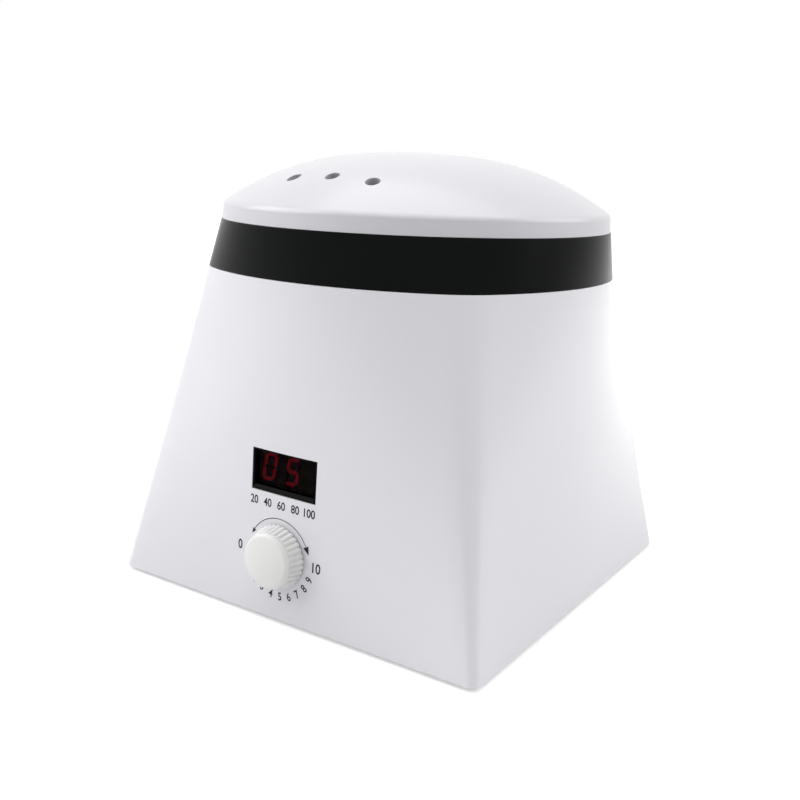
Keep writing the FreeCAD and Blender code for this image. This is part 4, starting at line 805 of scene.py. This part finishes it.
# The wax well is spun from aluminium sheet: a deep round pot with a wide flange and a rolled lip.
# It hangs in the band by its flange, on a silicone ring, and a welded stud holds the sensor plate.
WELL_STEPS = 144
WELL_RADIUS = 0.052
WELL_WALL = 0.0015
WELL_CORNER = 0.006
WELL_DEPTH = 0.068
WELL_FLANGE = 0.066
WELL_LIP = 0.00075
LIP_BENDS = 4
STUD_RADIUS = 0.002
CORNER_BENDS = 10
METAL_DETAIL = 4.0
RING_DEPTH = 0.0001
RING_SHADE = 0.85

flange_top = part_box("inner_pot")[1][2]
stud_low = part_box("inner_pot")[0][2]
well_floor = flange_top - WELL_DEPTH
well_low = well_floor - WELL_WALL


def quarter_bend(centre_r, centre_z, radius, start, steps):
    """Points round a quarter circle, from a start angle on, as radius and height."""
    return [(centre_r + radius * math.cos(start + math.pi / 2 * k / steps),
             centre_z + radius * math.sin(start + math.pi / 2 * k / steps)) for k in range(steps + 1)]


outside_corner = WELL_CORNER + WELL_WALL
well_outline = [(0, well_floor)]
bend_place = (WELL_RADIUS - WELL_CORNER, well_floor + WELL_CORNER)
well_outline += quarter_bend(*bend_place, WELL_CORNER, -math.pi / 2, CORNER_BENDS)
lip_bend = quarter_bend(WELL_RADIUS + WELL_LIP, flange_top - WELL_LIP, WELL_LIP, math.pi / 2, LIP_BENDS)
well_outline += reversed(lip_bend)
well_outline += [(WELL_FLANGE, flange_top), (WELL_FLANGE, flange_top - WELL_WALL),
                 (WELL_RADIUS + WELL_WALL, flange_top - WELL_WALL)]
well_outline += reversed(quarter_bend(*bend_place, outside_corner, -math.pi / 2, CORNER_BENDS))
well_outline += [(STUD_RADIUS, well_low), (STUD_RADIUS, stud_low), (0, stud_low)]


def spun_metal(name, colour, roughness, ring_scale, bump):
    """Metal spun on a lathe: fine rings round the axis in its polish, tone and surface."""
    material, tree, shader = new_material(name)
    place = tree.nodes.new("ShaderNodeTexCoord")
    apart = tree.nodes.new("ShaderNodeSeparateXYZ")
    flat = tree.nodes.new("ShaderNodeCombineXYZ")
    length = tree.nodes.new("ShaderNodeVectorMath")
    length.operation = "LENGTH"
    rings = tree.nodes.new("ShaderNodeCombineXYZ")
    tree.links.new(place.outputs["Object"], apart.inputs[0])
    tree.links.new(apart.outputs["X"], flat.inputs["X"])
    tree.links.new(apart.outputs["Y"], flat.inputs["Y"])
    tree.links.new(flat.outputs[0], length.inputs[0])
    tree.links.new(length.outputs["Value"], rings.inputs["X"])
    tree.links.new(apart.outputs["Z"], rings.inputs["Y"])
    noise = tree.nodes.new("ShaderNodeTexNoise")
    noise.inputs["Scale"].default_value = ring_scale
    noise.inputs["Detail"].default_value = METAL_DETAIL
    tree.links.new(rings.outputs[0], noise.inputs["Vector"])
    polish = tree.nodes.new("ShaderNodeMapRange")
    polish.inputs["To Min"].default_value = roughness[0]
    polish.inputs["To Max"].default_value = roughness[1]
    tree.links.new(noise.outputs["Fac"], polish.inputs["Value"])
    tree.links.new(polish.outputs["Result"], shader.inputs["Roughness"])
    tone = tree.nodes.new("ShaderNodeMix")
    tone.data_type = "RGBA"
    tone.inputs["A"].default_value = (*colour, 1)
    tone.inputs["B"].default_value = (*[c * RING_SHADE for c in colour], 1)
    tree.links.new(noise.outputs["Fac"], tone.inputs["Factor"])
    tree.links.new(tone.outputs["Result"], shader.inputs["Base Color"])
    relief = tree.nodes.new("ShaderNodeBump")
    relief.inputs["Strength"].default_value = bump
    relief.inputs["Distance"].default_value = RING_DEPTH
    tree.links.new(noise.outputs["Fac"], relief.inputs["Height"])
    tree.links.new(relief.outputs["Normal"], shader.inputs["Normal"])
    shader.inputs["Metallic"].default_value = 1.0
    return material


well = bmesh.new()
corners = [well.verts.new((r, 0, z)) for r, z in well_outline]
outline = [well.edges.new(pair) for pair in zip(corners, corners[1:])]
bmesh.ops.spin(well, geom=corners + outline, cent=(0, 0, 0), axis=(0, 0, 1), steps=WELL_STEPS,
               angle=2 * math.pi, use_merge=True)
bmesh.ops.remove_doubles(well, verts=well.verts, dist=MERGE_REACH)
bmesh.ops.recalc_face_normals(well, faces=well.faces)
SPUN_ALUMINIUM = spun_metal("spun_aluminium", (0.64, 0.65, 0.66), (0.20, 0.36), 900.0, 0.25)
piece("spun_well", well, SPUN_ALUMINIUM, "housing", ("inner_pot",))
dress(moulded("silicone_seal", (0.46, 0.12, 0.08), (0.40, 0.10, 0.07), (0.55, 0.7), bump=0.1), "pot_gasket")

# A mica heater band is drawn round the pot by two clamp screws, in felt insulation and a steel shield.
# The sensor and the thermal cut-out are held under the pot by a spring plate on the stud.
STREAK_SHADE = 0.82
EVEN = (1, 1, 1)
ROLLED = (1, 1, 8)


def streaked_finish():
    """Node group: fine streaks in the tone and the polish of rolled, drawn or plated metal."""
    group = bpy.data.node_groups.new("streaked_finish", "ShaderNodeTree")
    face = group.interface
    for name, kind in (("Colour", "NodeSocketColor"), ("Streak Colour", "NodeSocketColor"),
                       ("Low Roughness", "NodeSocketFloat"), ("High Roughness", "NodeSocketFloat"),
                       ("Scale", "NodeSocketFloat"), ("Stretch", "NodeSocketVector")):
        face.new_socket(name, in_out="INPUT", socket_type=kind)
    for name, kind in (("Colour", "NodeSocketColor"), ("Roughness", "NodeSocketFloat")):
        face.new_socket(name, in_out="OUTPUT", socket_type=kind)
    nodes = group.nodes
    links = group.links
    given = nodes.new("NodeGroupInput")
    result = nodes.new("NodeGroupOutput")
    place = nodes.new("ShaderNodeTexCoord")
    stretched = nodes.new("ShaderNodeMapping")
    streaks = nodes.new("ShaderNodeTexNoise")
    streaks.inputs["Detail"].default_value = METAL_DETAIL
    links.new(place.outputs["Object"], stretched.inputs["Vector"])
    links.new(given.outputs["Stretch"], stretched.inputs["Scale"])
    links.new(stretched.outputs["Vector"], streaks.inputs["Vector"])
    links.new(given.outputs["Scale"], streaks.inputs["Scale"])
    polish = nodes.new("ShaderNodeMapRange")
    links.new(streaks.outputs["Fac"], polish.inputs["Value"])
    links.new(given.outputs["Low Roughness"], polish.inputs["To Min"])
    links.new(given.outputs["High Roughness"], polish.inputs["To Max"])
    links.new(polish.outputs["Result"], result.inputs["Roughness"])
    tone = nodes.new("ShaderNodeMix")
    tone.data_type = "RGBA"
    links.new(streaks.outputs["Fac"], tone.inputs["Factor"])
    links.new(given.outputs["Colour"], tone.inputs["A"])
    links.new(given.outputs["Streak Colour"], tone.inputs["B"])
    links.new(tone.outputs["Result"], result.inputs["Colour"])
    return group


STREAKED = streaked_finish()


def sheet_metal(name, colour, roughness, scale, stretch):
    """Rolled, drawn or plated metal: fine streaks in the polish and a faint change of tone."""
    material, tree, shader = new_material(name)
    finish = tree.nodes.new("ShaderNodeGroup")
    finish.node_tree = STREAKED
    finish.inputs["Colour"].default_value = (*colour, 1)
    finish.inputs["Streak Colour"].default_value = (*[c * STREAK_SHADE for c in colour], 1)
    finish.inputs["Low Roughness"].default_value = roughness[0]
    finish.inputs["High Roughness"].default_value = roughness[1]
    finish.inputs["Scale"].default_value = scale
    finish.inputs["Stretch"].default_value = stretch
    tree.links.new(finish.outputs["Colour"], shader.inputs["Base Color"])
    tree.links.new(finish.outputs["Roughness"], shader.inputs["Roughness"])
    shader.inputs["Metallic"].default_value = 1.0
    return material


dress(sheet_metal("rolled_steel", (0.62, 0.63, 0.64), (0.30, 0.50), 120.0, ROLLED),
      "heater_band", "heat_shield", "sensor_plate")
ZINC_PLATE = sheet_metal("zinc_plate", (0.68, 0.69, 0.70), (0.25, 0.45), 400.0, EVEN)
dress(ZINC_PLATE, "clamp_screws", "clamp_nuts", "heat_shield_screws", "sensor_nut", "temperature_probe",
      "thermal_fuse")
dress(moulded("glass_felt", (0.72, 0.70, 0.62), (0.60, 0.58, 0.50), (0.9, 1.0), grain_scale=700.0, bump=0.9),
      "insulation_blanket", "insulation_pad")

# The control board stands behind the front face on four bosses, with the thermostat's potentiometer.
# The bush comes through the face and is held by a washer and a nut under the knob.
SOLDER_MASK = moulded("solder_mask", (0.02, 0.14, 0.06), (0.02, 0.10, 0.045), (0.25, 0.4), cloud_scale=90.0)
BLACK_MOULDING = moulded("black_moulding", (0.015, 0.015, 0.016), (0.025, 0.025, 0.027), (0.35, 0.5),
                        bump=0.1)
TINNED_BRASS = sheet_metal("tinned_brass", (0.72, 0.66, 0.48), (0.20, 0.35), 300.0, EVEN)
dress(SOLDER_MASK, "control_board", "power_board")
dress(BLACK_MOULDING, "potentiometer", "cable_header")
dress(TINNED_BRASS, "knob_shaft")
dress(ZINC_PLATE, "control_board_screws", "pot_washer", "pot_nut")

# The power board lies on the base plate with the relay, transformer, capacitor, fuse and terminals.
# Its parts are bought in, each in its own moulding, can or glass, and soldered down.
dress(moulded("relay_case", (0.03, 0.10, 0.30), (0.03, 0.08, 0.25), (0.3, 0.4)), "relay")
dress(moulded("winding_tape", (0.52, 0.36, 0.08), (0.42, 0.28, 0.06), (0.4, 0.55)), "transformer")
dress(moulded("capacitor_sleeve", (0.02, 0.025, 0.06), (0.03, 0.035, 0.07), (0.25, 0.35)), "filter_capacitor")
dress(moulded("terminal_moulding", (0.05, 0.26, 0.10), (0.04, 0.22, 0.08), (0.35, 0.5)), "terminal_block")
fuse_glass = moulded("fuse_glass", (0.92, 0.95, 0.95), (0.90, 0.94, 0.94), (0.02, 0.05), bump=0.0)
fuse_shader = fuse_glass.node_tree.nodes["Principled BSDF"]
fuse_shader.inputs["Transmission Weight"].default_value = 1.0
dress(fuse_glass, "fuse_tube")
dress(TINNED_BRASS, "fuse_caps", "fuse_clips")
dress(ZINC_PLATE, "power_board_screws")

# The two-pin mains inlet is a black moulding let into the rear face, held by two screws.
# Its brass pins are pressed in from behind.
INLET_EDGE = 0.0003
softened("power_inlet", BLACK_MOULDING, "housing", INLET_EDGE)
dress(TINNED_BRASS, "inlet_pins")
dress(ZINC_PLATE, "inlet_screws")

# The base plate closes the housing from below, with slots for cooling air and four screws.
# The heater stands on four moulded rubber feet pressed into its pockets.
BASE_EDGE = 0.0003
BASE_MOULDING = moulded("base_moulding", (0.72, 0.72, 0.73), (0.69, 0.69, 0.70), (0.45, 0.6),
                        grain_scale=1500.0, bump=0.25)
softened("base_plate", BASE_MOULDING, "housing", BASE_EDGE)
dress(moulded("foot_rubber", (0.02, 0.02, 0.02), (0.035, 0.035, 0.035), (0.7, 0.85), bump=0.2), "rubber_feet")
dress(ZINC_PLATE, "base_screws")

# The leads run inside the housing, in silicone to the heater and the sensors and in vinyl elsewhere.
# A flat cable joins the two boards.
dress(moulded("red_silicone", (0.45, 0.03, 0.02), (0.40, 0.03, 0.02), (0.45, 0.6)), "heater_leads")
dress(moulded("black_silicone", (0.02, 0.02, 0.02), (0.03, 0.03, 0.03), (0.45, 0.6)), "probe_leads")
dress(moulded("brown_vinyl", (0.16, 0.07, 0.03), (0.13, 0.06, 0.03), (0.4, 0.5)), "mains_leads")
dress(moulded("grey_vinyl", (0.38, 0.38, 0.40), (0.33, 0.33, 0.35), (0.4, 0.55)), "ribbon_cable")
